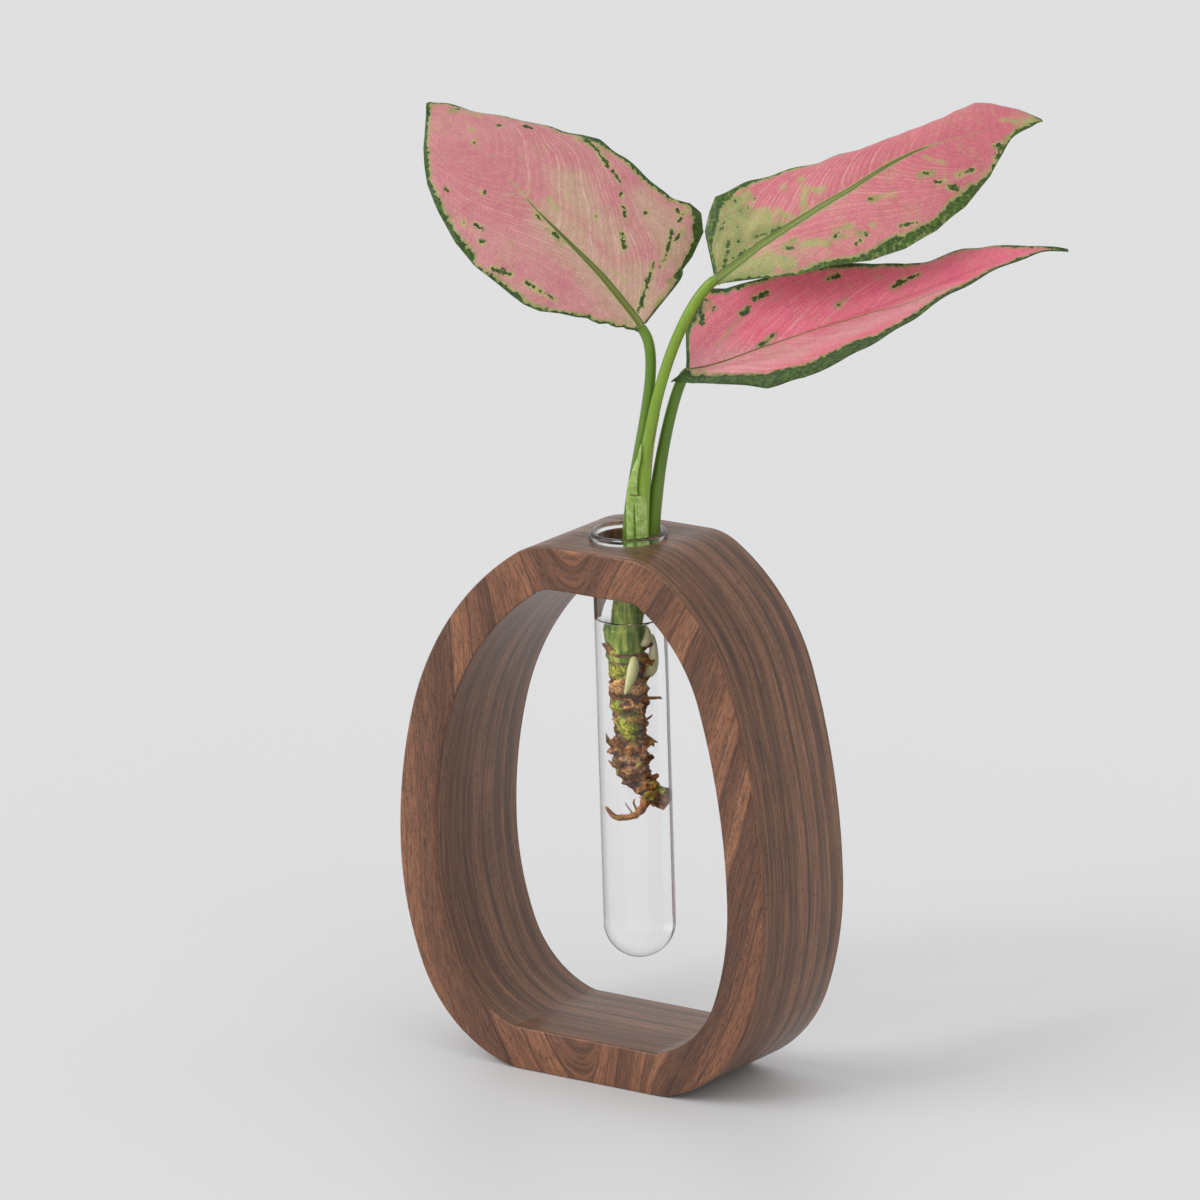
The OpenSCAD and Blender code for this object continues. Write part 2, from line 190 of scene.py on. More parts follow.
def wire(node, *inputs, **named):
    """Sets or links the inputs of a node, but for those that are None. In a name, _ stands for a space."""
    for key, value in [*enumerate(inputs), *named.items()]:
        socket = node.inputs[key if isinstance(key, int) else key.replace("_", " ")]
        if isinstance(value, Field):
            value.tree.links.new(value.socket, socket)
        elif value is not None:
            socket.default_value = value
    return node


def calc(operation, *terms):
    """Math node on fields and numbers."""
    return field(tree_of(*terms), "Math", {"operation": operation}, *terms)


def tree_of(*terms):
    return next(t.tree for t in terms if isinstance(t, Field))


class Field:
    """What a node puts out. The plain signs between fields and numbers add Math nodes."""

    def __init__(self, socket):
        self.socket, self.tree = socket, socket.id_data

    def __add__(self, other):
        return calc("ADD", self, other)

    def __sub__(self, other):
        return calc("SUBTRACT", self, other)

    def __rsub__(self, other):
        return calc("SUBTRACT", other, self)

    def __mul__(self, other):
        return calc("MULTIPLY", self, other)

    __radd__, __rmul__ = __add__, __mul__

    def step(self, low, high):
        """0 below low, 1 above high, smooth between."""
        return field(self.tree, "MapRange", {"interpolation_type": "SMOOTHSTEP", "clamp": True}, self, low, high)

    def inside(self, low, high):
        """1 below low, 0 above high, smooth between."""
        return 1.0 - self.step(low, high)


def field(tree, kind, settings, *inputs, out=0, **named):
    return Field(new_node(tree, kind, settings, *inputs, **named).outputs[out])


def group(name, inputs, outputs):
    """New node group, its inputs as fields by name, and its output node. A default's length tells its kind."""
    tree = bpy.data.node_groups.new(name, "ShaderNodeTree")
    for way, sockets in (("INPUT", inputs), ("OUTPUT", outputs)):
        for label, value in sockets.items():
            kind = {1: "Float", 3: "Vector", 4: "Color"}[len(value) if isinstance(value, tuple) else 1]
            socket = tree.interface.new_socket(name=label, in_out=way, socket_type="NodeSocket" + kind)
            socket.default_value = value
    entry = tree.nodes.new("NodeGroupInput")
    return tree, {label: Field(entry.outputs[label]) for label in inputs}, tree.nodes.new("NodeGroupOutput")


def clouds(place, scale, detail=2.0, roughness=0.5, stretch=None):
    """Soft noise at a place, which may be stretched first."""
    if stretch:
        place = field(place.tree, "VectorMath", {"operation": "MULTIPLY"}, place, stretch)
    return field(place.tree, "TexNoise", {}, Vector=place, Scale=scale, Detail=detail, Roughness=roughness)


def mix(factor, a, b, mode="MIX"):
    """Mixes two colours, which are the last inputs and the third output of the node."""
    settings = {"data_type": "RGBA", "blend_type": mode}
    return field(tree_of(factor, a, b), "Mix", settings, factor, *[None] * 5, a, b, out=2)


def times(a, b):
    """Colour a darkened or lit by colour b."""
    return mix(1.0, a, b, "MULTIPLY")


def ramp(value, *stops):
    """Colour ramp with stops of a place and the three parts of a colour or factor."""
    node = new_node(value.tree, "ValToRGB", {}, value)
    points = node.color_ramp.elements
    while len(points) < len(stops):
        points.new(0.5)
    for point, (place, *colour) in zip(points, stops):
        point.position = place
        point.color = (*colour, 1)
    return Field(node.outputs[0])


def srgb(r, g, b):
    """Colour from 0 to 255 values as a screen shows them."""
    return tuple(((c / 255 + 0.055) / 1.055) ** 2.4 if c > 10 else c / 255 / 12.92 for c in (r, g, b)) + (1,)


def tones(value, stops):
    """Colour ramp with stops of a place and a colour in 0 to 255 values."""
    return ramp(value, *((place, *srgb(*rgb)[:3]) for place, *rgb in stops))


def relief(height, strength, distance):
    return field(height.tree, "Bump", {}, Height=height, Strength=strength, Distance=distance)


def material(name):
    """New material with its tree, its shader and its object coordinates."""
    mat = bpy.data.materials.new(name)
    mat.use_nodes = True
    tree = mat.node_tree
    return mat, tree, tree.nodes["Principled BSDF"], field(tree, "TexCoord", {}, out="Object")


# ---------------------------------------------------------------- measures, in metres

CROWN_X = 7.5 * MM
TURN = math.radians(36.5)
COS, SIN = math.cos(TURN), math.sin(TURN)
RING_H = 190 * MM
BORE_R = 12.7 * MM
EDGE_R = 0.9 * MM
TUBE_R = 12.5 * MM
GLASS_IN_R = TUBE_R - 1.3 * MM
TUBE_BOTTOM = 40.4 * MM
GLASS_FLOOR = (0, TUBE_BOTTOM + 1.8 * MM + GLASS_IN_R)
BEAD_R = 1.2 * MM
BEAD_MID_R = TUBE_R + 0.9 * MM - BEAD_R
WATER_LEVEL = 162 * MM
WATER_FLAT = WATER_LEVEL - 0.9 * MM
STEM_TOP = Vector((4.25, 0, 184))


def world(p):
    """Place in metres of a point of the cutting, given in its own frame in mm."""
    return Vector((CROWN_X + (p[0] * COS - p[1] * SIN) * MM, (p[0] * SIN + p[1] * COS) * MM, p[2] * MM))


# ---------------------------------------------------------------- wooden ring

BAND_T, RING_D, HALF_W = 15.4, 48.0, 77.0
BASE_RISE, CROWN_DROP = 73.8, 116.2
DOWN, LEVEL = (0, 1), (1, 0)
CROWN_MEETS = ((0.5376, 0.8432), (0.96, 0.28))


def arcs_of(rise, radii, meets):
    """Centres and directions of the arcs that carry the band from a flat to its side, in mm."""
    last = (rise - radii[0] * (1 - meets[0][1]) - radii[1] * (meets[0][1] - meets[1][1])) / meets[1][1]
    r = [*radii, last]
    centre = Vector((HALF_W - last, rise))
    centres = [centre]
    for i in (2, 1):
        centre = centre + (r[i] - r[i - 1]) * Vector((meets[i - 1][0], -meets[i - 1][1]))
        centres.insert(0, centre)
    return centres, [DOWN, *meets, LEVEL]


def make_ring():
    """Section of the band carried round the ring by extrusion and spins, then bored and rounded."""
    base = arcs_of(BASE_RISE, (26, 51.5), ((0.28, 0.96), (0.936, 0.352)))
    right = arcs_of(CROWN_DROP, (21.75, 71.75), CROWN_MEETS)
    left = arcs_of(CROWN_DROP, (29, 110.25), CROWN_MEETS)
    bpy.ops.mesh.primitive_plane_add(size=1, location=(0, 0, BAND_T / 2 * MM), rotation=(0, math.pi / 2, 0))
    ring = bpy.context.object
    ring.scale = (BAND_T * MM, RING_D * MM, 1)
    pick(ring)
    bpy.ops.object.transform_apply(location=True, rotation=True, scale=True)
    edit_all(ring)
    bpy.ops.mesh.delete(type="ONLY_FACE")
    bpy.ops.mesh.select_all(action="SELECT")

    def bar(length):
        bpy.ops.mesh.extrude_region_move(TRANSFORM_OT_translate={"value": (length * MM, 0, 0)})

    def turn(half, side, top, backwards):
        centres, stops = half
        for i in (2, 1, 0) if backwards else (0, 1, 2):
            angle = math.atan2(*stops[i + 1]) - math.atan2(*stops[i])
            x = side * centres[i][0] * MM
            z = RING_H - centres[i][1] * MM if top else centres[i][1] * MM
            steps = max(4, round(math.degrees(angle) / 1.6))
            bpy.ops.mesh.spin(steps=steps, angle=angle, center=(x, 0, z), axis=(0, 1, 0))

    bar(base[0][0][0])
    turn(base, 1, False, False)
    turn(right, 1, True, True)
    bar(-right[0][0][0] - left[0][0][0])
    turn(left, -1, True, False)
    turn(base, -1, False, True)
    bar(base[0][0][0])
    close(ring, 0.02)
    bpy.ops.mesh.primitive_cylinder_add(
        vertices=96, radius=BORE_R, depth=40 * MM, location=(CROWN_X, 0, RING_H - 10 * MM)
    )
    borer = bpy.context.object
    apply(ring, "BOOLEAN", object=borer, operation="DIFFERENCE", solver="EXACT")
    bpy.data.objects.remove(borer)
    apply(ring, "BEVEL", width=EDGE_R, segments=4, limit_method="ANGLE", angle_limit=math.radians(50))
    smooth(ring, 35)
    return join("walnut_ring", ring)


# ---------------------------------------------------------------- glass tube and water


def make_tube():
    """Round-bottomed tube with a beaded rim, turned from one closed profile."""
    round_z = TUBE_BOTTOM + TUBE_R
    middle = 0.5 * (round_z + RING_H)
    profile = [
        *arc((0, round_z), TUBE_R, -90, 0), (TUBE_R, middle), (TUBE_R, RING_H - 0.6 * MM),
        *arc((BEAD_MID_R, RING_H + BEAD_R), BEAD_R, -50, 175), (GLASS_IN_R, RING_H - 1.5 * MM), (GLASS_IN_R, middle),
        *arc(GLASS_FLOOR, GLASS_IN_R, 0, -90),
    ]
    return lathe("glass_tube", profile, 128, 60)


def make_water():
    """Water up to its level, climbing a little where it meets the glass."""
    r = GLASS_IN_R + 0.03 * MM
    climb = [(r - d * MM, WATER_FLAT + 1.3 * MM * math.exp(-d / 1.1)) for d in (0, 0.3, 0.7, 1.2, 2, 3, 4.5)]
    profile = [*arc(GLASS_FLOOR, r, -90, 0), (r, 0.5 * (GLASS_FLOOR[1] + WATER_LEVEL)), *climb, (0, WATER_FLAT)]
    return lathe("tube_water", profile, 96, 50)


# ---------------------------------------------------------------- stem and rootstock

REAR = Vector((0, 1, 0))
STEM_L, STEM_FOOT_Z, STEM_FOOT_X = 37, 147, -1.02
ROOTSTOCK_H, ROOT_END_Z, ROOT_END_R = 51, 96, 3.9
BEND = math.radians(30)
ROOT_END_X = 11.0 - 0.35 - ROOT_END_R * math.sin(BEND)
STEM_PATH = [Vector((STEM_TOP.x * s, 0, STEM_FOOT_Z + STEM_L * h))
             for s, h in zip((-0.24, -0.76, 0.12, 1), (0, 0.35, 0.65, 1))]
ROOTSTOCK_PATH = [
    Vector((STEM_FOOT_X, 0, STEM_FOOT_Z)),
    Vector((STEM_FOOT_X, 0, STEM_FOOT_Z - ROOTSTOCK_H * 0.55)),
    Vector((ROOT_END_X - ROOTSTOCK_H * 0.2 * math.cos(BEND), 0, ROOT_END_Z + ROOTSTOCK_H * 0.2 * math.sin(BEND))),
    Vector((ROOT_END_X, 0, ROOT_END_Z)),
]


def bump_at(x, places, width):
    """Sum of soft bumps, one at each place."""
    return sum(math.exp(-(((x - p) / width) ** 2)) for p in places)


def around(path, t, angle, r, up=0.0):
    """Place in mm beside a path: at t on it, on the side given by the angle, up against its direction."""
    ahead = direction(path, t)
    a = math.radians(angle)
    return bezier(path, t) + r * (math.cos(a) * ahead.cross(REAR) + math.sin(a) * REAR) - up * ahead


def patches(z, angle, places):
    """How far inside the nearest patch a place is: 1 in its middle, 0 at its rim, less outside."""
    return max([-1.0] + [1 - math.hypot((z - z0) / tall, ((angle - a0 + 180) % 360 - 180) / wide)
                         for z0, a0, tall, wide in places])


def carve(obj, path, steps, shape, **fields):
    """Moves the skin of a rod to the radius that shape gives at each place, and writes its colour fields and its
    relief, from which the bark's painted shade and highlight come.
    """
    centres = [bezier(path, t) for t in shares(steps)]
    own = {label: [] for label in (*fields, "relief")}
    for v in obj.data.vertices:
        x, y = (v.co.x - CROWN_X) / MM, v.co.y / MM
        at = Vector((x * COS + y * SIN, y * COS - x * SIN, v.co.z / MM))
        i = min(range(steps + 1), key=lambda k: (centres[k] - at).length_squared)
        off = at - centres[i]
        side = direction(path, i / steps).cross(REAR)
        angle = math.degrees(math.atan2(off.y, off.dot(side))) % 360
        high = 0.0
        if off.length > 1:
            r, high = shape(i / steps, angle, at)
            at = centres[i] + off * (r / off.length)
        for label, rule in fields.items():
            own[label].append(rule(at.z, angle))
        own["relief"].append(high)
        v.co = world(at)
    write(obj.data, **own)
    obj.data.update()
    return obj


def make_stem():
    """Green stem with a low ridge at each leaf scar, and a torn brown scar near its foot."""
    ts = shares(110)
    stem = rod("green_stem", [world(bezier(STEM_PATH, t)) for t in ts], [(4.9 + 1.5 * t) * MM for t in ts], 56)

    def shape(t, angle, at):
        sway = 0.012 * math.sin(math.radians(angle) + 1) + 0.02 * noise.noise(Vector((angle / 40, 0, t * 3)))
        ridge = 0.2 * bump_at(t + sway, (0.3, 0.47, 0.64, 0.81), 0.014)
        ragged = 0.4 + abs(noise.noise(Vector((angle / 14, 3, 0)))) * 1.6
        torn = 0.55 * bump_at(t + sway * 2, (0.105,), 0.018) * ragged
        flat = noise.noise(at * 0.16) * 0.3
        return 4.75 + 1.5 * t + (ridge + torn + flat) * min(1, 12 * (1 - t)), ridge + torn

    def green(z, angle):
        """Less where the skin is worn: at the torn scar, at the foot and at one ridge."""
        worn = max(1 - abs(z - 150.6 - 0.6 * math.sin(math.radians(angle))) / 1.1, 1 - abs(z - 147) / 0.9,
                   0.35 - abs(z - 158.6) / 0.9)
        return 1 - 1.9 * max(0, worn)

    return smooth(carve(stem, STEM_PATH, 110, shape, green=green))


# Ledges of the rootstock by place along it, its half widths, and its green and its tan patches: height,
# side as an angle from the right, half height and half angle
LEDGES = (0.035, 0.1, 0.2, 0.3, 0.43, 0.53, 0.64, 0.77, 0.88)
STOUT = ((0, 4.6), (0.06, 4.3), (0.13, 4.95), (0.2, 4.8), (0.27, 4.1), (0.36, 4.3), (0.45, 4.3), (0.51, 5.0),
         (0.57, 4.5), (0.63, 3.7), (0.7, 3.1), (0.8, 2.9), (0.88, 3.6), (1, 3.4))
GREENS = ((145, 215, 3.8, 95), (132.5, 215, 3.4, 32), (124.8, 262, 6, 62), (108.5, 172, 4.6, 40), (102, 318, 3, 40),
          (99, 240, 2, 26))
TANS = ((138.6, 270, 3.2, 220), (131, 300, 2.4, 40), (118.5, 20, 2.4, 50), (104, 300, 2.4, 24), (113, 250, 1.6, 40))
EYES = ((132.8, 262, 2.2, 26), (105.5, 300, 2.4, 34))
LEFTWARD = ((0, 0), (0.2, -0.2), (0.35, -0.5), (0.5, -1.5), (0.6, -2.2), (0.68, -1.8), (0.78, -0.6), (0.88, 0), (1, 0))


def make_rootstock():
    """Knobbly brown rootstock: torn ledges where leaves sat, lumps, an eye in front and a bent stub."""
    root = rod("rootstock", [world(bezier(ROOTSTOCK_PATH, t)) for t in shares(190)], [4.4 * MM] * 191, 72)

    def shape(t, angle, at):
        a = math.radians(angle)
        ragged = noise.noise(Vector((math.cos(a) * 2.2, math.sin(a) * 2.2, t * 9)))
        tilt = 0.02 * math.sin(a + 40 * t) + 0.03 * ragged
        lip = sum(max(0, 1 - abs(t + tilt - p) / 0.022) ** 2 for p in LEDGES)
        under = sum(math.exp(-(((t + tilt - p - 0.035) / 0.016) ** 2)) for p in LEDGES)
        torn = 0.35 + 1.1 * max(0, noise.noise(Vector((math.cos(a) * 3.4, math.sin(a) * 3.4, round(t * 10)))))
        lumps = 0.75 * noise.noise(at * 0.3) + 0.45 * noise.noise(at * 0.75) + 0.16 * noise.noise(at * 1.9)
        eye = patches(at.z, angle, EYES)
        ring = 0.5 * math.exp(-(((eye - 0.25) / 0.16) ** 2)) - 0.35 * max(0, eye - 0.3) if eye > -0.2 else 0
        high = 0.85 * lip * torn - 0.35 * under + lumps + ring
        r = table(STOUT, t) + high + math.cos(a) * table(LEFTWARD, t)
        return min(r, 4.55 if t > 0.86 else 6.6), high

    carve(root, ROOTSTOCK_PATH, 190, shape, green=lambda z, angle: patches(z, angle, GREENS),
          tan=lambda z, angle: patches(z, angle, TANS))
    return smooth(root, 50)


# ---------------------------------------------------------------- scraps of bark, roots and buds

# Scraps by place along the stem or the rootstock: side as an angle, distance of the foot from the path,
# width, length (upwards, or hanging below 0) and how far the scrap stands off, in mm
SCRAPS = [(STEM_PATH, *row) for row in (
    (0.07, 205, 4.9, 6.5, 5.0, 2.6), (0.1, 186, 5.0, 4.0, -3.0, 2.6), (0.11, 335, 4.7, 6.0, -4.5, 1.6),
)] + [(ROOTSTOCK_PATH, *row) for row in (
    (0.1, 322, 4.0, 6.5, 4.0, 1.9), (0.16, 215, 4.4, 6.0, 3.2, 1.4), (0.46, 206, 4.9, 7.0, 8.5, 2.6),
    (0.4, 190, 4.5, 5.5, -5.0, 2.7), (0.36, 340, 3.1, 6.0, -5.0, 2.8), (0.3, 330, 3.1, 5.5, 3.4, 2.5),
    (0.47, 345, 2.6, 6.0, 4.0, 2.6), (0.52, 250, 4.8, 7.0, -3.4, 1.2), (0.57, 200, 5.7, 5.6, 4.4, 1.9),
    (0.66, 214, 4.3, 6.2, 4.8, 2.5), (0.24, 285, 3.6, 6.0, -3.0, 2.0), (0.74, 10, 1.3, 4.6, 3.0, 2.4),
    (0.7, 290, 1.9, 5.0, -3.4, 2.2), (0.57, 320, 2.2, 6.0, 3.6, 2.2), (0.85, 240, 2.7, 5.0, 2.6, 1.9),
)]
# Side roots of the long root: foot beside its foot, ways to the next points, and radii
LETS = (
    ((-3.6, -0.5, -5.4), ((-0.4, 0, 2), (-1.6, 0, 2.4), (-2, 0, 4.6)), (0.35, 0.22, 0.12)),
    ((-2.4, -0.4, -4.6), ((0, 0, 2), (-1.3, -0.4, 3.2), (-0.5, -0.2, 5.4)), (0.5, 0.3, 0.2)),
    ((-5.6, -0.6, -5.6), ((-1, 0.2, 0.8), (-2, 0, 0.2), (-3.2, 0, 1.3)), (0.4, 0.3, 0.15)),
    ((0, 0.4, 0), ((-0.6, 0, -2), (-1.8, 0.3, -3.2), (-2.3, 0, -4.4)), (0.5, 0.45, 0.3)),
)
KINK_SEED = 1795981165


def scrap(seed, path, t, angle, out, wide, tall, flare):
    """Dry scale left by a leaf: a thin torn strip that stands off the skin, upwards or hanging."""
    bpy.ops.mesh.primitive_grid_add(x_subdivisions=14, y_subdivisions=12, size=2)
    strip = bpy.context.object
    for v in strip.data.vertices:
        u, k = v.co.x, (v.co.y + 1) / 2
        jag = 0.7 + 0.45 * noise.noise(Vector((u * 2.6, seed, 0))) + 0.2 * noise.noise(Vector((u * 7, seed, 4)))
        crease = 0.25 * noise.noise(Vector((u * 3, k * 3, seed)))
        a = angle + math.degrees(u * wide / 2 * (1 - 0.55 * k) / out)
        v.co = world(around(path, t, a, out + flare * k**1.4 + crease, tall * k * jag))
    apply(strip, "SOLIDIFY", thickness=0.32 * MM, offset=0)
    return smooth(strip)


def rootstock_side(t, angle, depth):
    a = math.radians(angle)
    return bezier(ROOTSTOCK_PATH, t) + (4.9 - depth) * Vector((math.cos(a), math.sin(a), 0))


def curved(name, start, scale, ways, radii, steps, sides, kinks):
    """Crooked rod on a curve from start, with three ways from there to its next points."""
    path = [start + scale * Vector(w) for w in ((0, 0, 0), *ways)]
    ts = shares(steps)
    rs = [(radii[0] * (1 - t) ** 4 + radii[1] * (1 - (1 - t) ** 4 - t**4) + radii[2] * t**4) * MM for t in ts]
    crooked = [kinks * noise.noise_vector(bezier(path, t) * 0.35) for t in ts]
    rs = [r * (1 + kinks * 0.35 * noise.noise(Vector((t * 14, 2, 5)))) for r, t in zip(rs, ts)]
    return rod(name, [world(bezier(path, t) + k) for t, k in zip(ts, crooked)], rs, sides)


def make_roots():
    """Both roots with their side roots, and the scraps. Without a seed the kinks would differ in each run."""
    noise.seed_set(KINK_SEED)
    name = "root_long_piece"
    foot = ROOTSTOCK_PATH[3] - Vector((ROOT_END_R * 1.55, ROOT_END_R * 0.15, -ROOT_END_R * 0.35))
    ways = ((-0.12, -0.03, -0.5), (-0.5, -0.06, -0.5), (-0.68, -0.03, -0.17))
    main = curved(name, foot, 16, ways, (1.5, 1.1, 0.6), 44, 12, 0.7)
    lets = [curved("rootlet", foot + Vector(at), 1, ways, radii, 14, 8, 0.5) for at, ways, radii in LETS]
    long_root = join(name, main, *lets)
    name = "root_short_piece"
    foot = rootstock_side(0.17, -8, 4.8 * 0.2)
    main = curved(name, foot, 4.8, ((0.35, 0, 0.05), (0.7, -0.1, 0.05), (1, -0.15, 0)), (0.8, 0.58, 0.4), 16, 8, 0.35)
    tip = foot + 4.8 * Vector((0.86, -0.12, 0))
    let = curved("rootlet", tip, 1, ((0.1, 0, -0.4), (0.5, 0, -0.6), (1, 0, -0.4)), (0.2, 0.15, 0.1), 14, 8, 0.1)
    short_root = join(name, main, let)
    stubs = [scrap(seed, *row) for seed, row in enumerate(SCRAPS, 1)]
    return long_root, short_root, join("root_stub_pieces", *stubs)


def lancet(name, path, wide, flat):
    """Bud: a rod whose radius follows the given table, flattened a little from front to back."""
    ts = shares(30)
    bud = rod(name, [world(bezier(path, t)) for t in ts], [float(table(wide, t)) * MM for t in ts], 24)
    middle = world(bezier(path, 0.5))
    for v in bud.data.vertices:
        depth = -(v.co.x - middle.x) * SIN + (v.co.y - middle.y) * COS
        v.co += Vector((-SIN, COS, 0)) * depth * (flat - 1)
    return smooth(bud)


def make_buds():
    """A broad pale bud to the right with a small one beside it, and a slim one hanging in front."""
    a = math.radians(-8)
    foot = rootstock_side(0.05, -8, 1.3)
    beside = foot + 3.5 * Vector((math.cos(a), math.sin(a), 0))

    def path(start, *ways):
        return [start + Vector(w) for w in ways]

    name = "pale_bud_upper"
    upper = lancet(
        name, path(foot, (0, 0, -0.4)) + path(beside, (-0.6, 0, -2.2), (0.2, 0, 7), (-0.5, 0, 14)),
        ((0, 0.8), (0.12, 1.3), (0.3, 1.75), (0.5, 1.7), (0.75, 1.2), (0.92, 0.7), (1, 0.25)), 0.75,
    )
    small = lancet(
        "small", path(foot, (-0.4, -1.2, 10.8), (2.1, -1.6, 11.2), (2.3, -1.8, 13.2), (1.7, -1.6, 17.2)),
        ((0, 1.1), (0.3, 1.5), (0.6, 1.2), (0.9, 0.6), (1, 0.2)), 0.8,
    )
    front = path(Vector(), (0.5, -4.5, 149.5), (0.9, -6.6, 147), (-0.6, -7.0, 141), (-2.4, -6.2, 136.6))
    lower = lancet(
        "pale_bud_lower", front,
        ((0, 0.8), (0.15, 1.35), (0.35, 1.75), (0.55, 1.65), (0.8, 1.05), (0.95, 0.5), (1, 0.15)), 0.72,
    )
    return join(name, upper, small), lower


# ---------------------------------------------------------------- leaves

# Each leaf, first as an even form in the frame: length, stalk height, foot as shares of that height, turns,
# fold, curls of the left and right half, sway, half widths as shares of the length, and its stalk's foot,
# radius, straight share and bend.
# Then how the real leaf departs from it, by place along it and side: the margin's reach as a share of the
# half width, how much of the left curl is left, how far a lobe runs back past the foot and how deep its
# pleats are in mm.
# Then what is drawn on it, in mm: the width of its green margin, the half width of its midrib and the
# places that the midrib passes, the bend of its side veins (how far forward, and how steeply), and marks,
# each a line from one place and side to another with a radius. Last its colours, above and below
PLACES = (0, 0.03, 0.1, 0.2, 0.3, 0.4, 0.5, 0.6, 0.7, 0.8, 0.9, 0.96, 1)
EVEN = ((0, 1), (1, 1))
LEFT = dict(
    length=106.7, height=78, foot=(0.03, 0.057, 1), turns=(63.4, 42.9, -45), fold=(8, 8), curls=((20, 20), (10, 80)),
    sway=(0.016, 0.6, 0.05, -10),
    widths=(
        (0, 0.035, 0.1, 0.175, 0.25, 0.28, 0.295, 0.29, 0.25, 0.195, 0.115, 0.05, 0.004),
        (0, 0.175, 0.34, 0.39, 0.37, 0.355, 0.345, 0.31, 0.245, 0.17, 0.095, 0.05, 0.004),
    ),
    stalk=(-3.9, 0.96, 2.4, 0.38, 0.18),
    reach=(
        (
            (0, 1), (0.028, 1.04), (0.036, 0.9), (0.052, 1.08), (0.07, 1.02), (0.078, 0.95), (0.095, 1.05),
            (0.125, 1), (0.135, 0.965), (0.16, 1.03), (0.2, 1.03), (0.25, 1.07), (0.3, 1.01), (0.35, 0.99),
            (0.4, 0.96), (0.5, 0.96), (0.6, 0.94), (0.7, 0.97), (0.75, 1), (0.85, 1.05), (1, 1.04),
        ),
        (
            (0, 1), (0.04, 1.02), (0.052, 0.93), (0.062, 1.05), (0.104, 1.03), (0.15, 1.06), (0.2, 0.99),
            (0.25, 0.93), (0.3, 0.94), (0.4, 0.975), (0.45, 0.99), (0.5, 0.98), (0.55, 1.02), (0.6, 1), (0.65, 0.97),
            (0.75, 1.03), (0.85, 1), (1, 1),
        ),
    ),
    margin=(
        (
            (0, 1), (0.15, 1), (0.22, 0.9), (0.27, 1.4), (0.33, 1.7), (0.42, 1.2), (0.47, 0.5), (0.5, 0.6),
            (0.53, 2.4), (0.57, 2.3), (0.62, 2), (0.75, 1.9), (0.9, 1.8), (1, 1.6),
        ),
        (
            (0, 2.4), (0.04, 3), (0.05, 5), (0.1, 5), (0.15, 3.6), (0.19, 1.2), (0.26, 0.7), (0.3, 1.4), (0.42, 1.6),
            (0.5, 1.3), (0.55, 2.6), (0.62, 1.4), (0.7, 0.5), (0.8, 0.1), (0.86, 0.3), (0.9, 1), (1, 1.2),
        ),
    ),
    rib=((0, 1.35), (0.19, 1.1), (0.34, 0.65), (0.49, 0.3), (0.58, 0.05), (0.65, -0.3), (1, -0.6)),
    rib_way=((0, 0), (0.2, 0), (0.34, -0.03), (0.49, -0.05), (0.65, -0.01), (1, 0)),
    veins=((0.93, 1.25), (0.65, 1.2)),
    pale=((0, 0, 0.12, 0.15, 9), (0, 0, 0.45, 0, 7), (0.08, 0.8, 0.3, 0.78, 6), (0.25, 0.3, 0.5, 0.35, 6)),
    dark=(
        (0.225, 0.31, 0.26, 0.39, 0.9), (0.3, 0.54, 0.33, 0.59, 0.5), (0.353, 0.65, 0.363, 0.66, 0.6),
        (0.4, 0.74, 0.43, 0.775, 0.45), (0.463, 0.785, 0.518, 0.85, 0.9), (0.518, 0.85, 0.57, 0.9, 0.9),
        (0.046, 0.107, 0.084, 0.26, 0.7), (0.084, 0.26, 0.126, 0.42, 0.5), (0.101, 0.467, 0.131, 0.59, 0.4),
        (0.131, 0.593, 0.165, 0.693, 0.6), (0.136, 0.683, 0.148, 0.783, 0.45), (0.195, 0.85, 0.21, 0.88, 0.6),
        (0.454, -0.9, 0.398, -0.817, 0.7), (0.345, -0.767, 0.308, -0.743, 0.8), (0.308, -0.743, 0.249, -0.743, 0.45),
        (0.544, -0.763, 0.535, -0.75, 0.8), (0.6, -0.69, 0.57, -0.655, 0.4), (0.632, -0.803, 0.62, -0.8, 0.45),
        (0.656, -0.373, 0.652, -0.37, 0.45), (0.749, -0.757, 0.742, -0.75, 0.5), (0.36, 0.32, 0.356, 0.32, 0.5),
        (0.264, 0.7, 0.26, 0.7, 0.5), (0.74, 0.8, 0.72, 0.81, 0.6), (0.79, 0.587, 0.785, 0.587, 0.4),
        (0.805, 0.01, 0.8, 0.01, 0.4), (0.924, 0.6, 0.92, 0.7, 0.6), (0.41, -0.1, 0.39, -0.09, 0.5),
        (0.49, -0.09, 0.47, -0.085, 0.35), (0.175, 0.8, 0.19, 0.92, 0.5),
    ),
    lime=(
        (0.5, 0.125, 0.46, 0.1, 0.5), (0.44, -0.13, 0.36, -0.08, 0.3), (0.02, 0.6, 0.07, 0.95, 0.7),
        (0.03, -0.5, 0.1, -0.9, 0.4), (0.47, 0.25, 0.46, 0.26, 0.3), (0.14, 0.12, 0.2, 0.09, 0.2),
        (0.84, 0.2, 0.83, 0.25, 0.2), (0.6, 0.88, 0.5, 0.86, 0.6), (0.93, 0.4, 0.86, 0.75, 0.3),
    ),
    holes=0.2,
    face=dict(
        side_veins=7, vein_light=0.5, pink=(201, 131, 134), deep=(197, 118, 126), pale=(190, 163, 135),
        lime=(168, 174, 98), dark=(46, 78, 4), rib=(104, 112, 40),
    ),
    below=dict(
        side_veins=5, vein_light=0.2, pink=(204, 150, 144), deep=(198, 140, 138), pale=(202, 174, 152),
        lime=(170, 180, 110), dark=(80, 112, 52), rib=(146, 164, 88),
    ),
    stalk_green=((0.3, 72, 108, 14), (0.5, 95, 131, 26), (0.7, 124, 156, 50)),
)
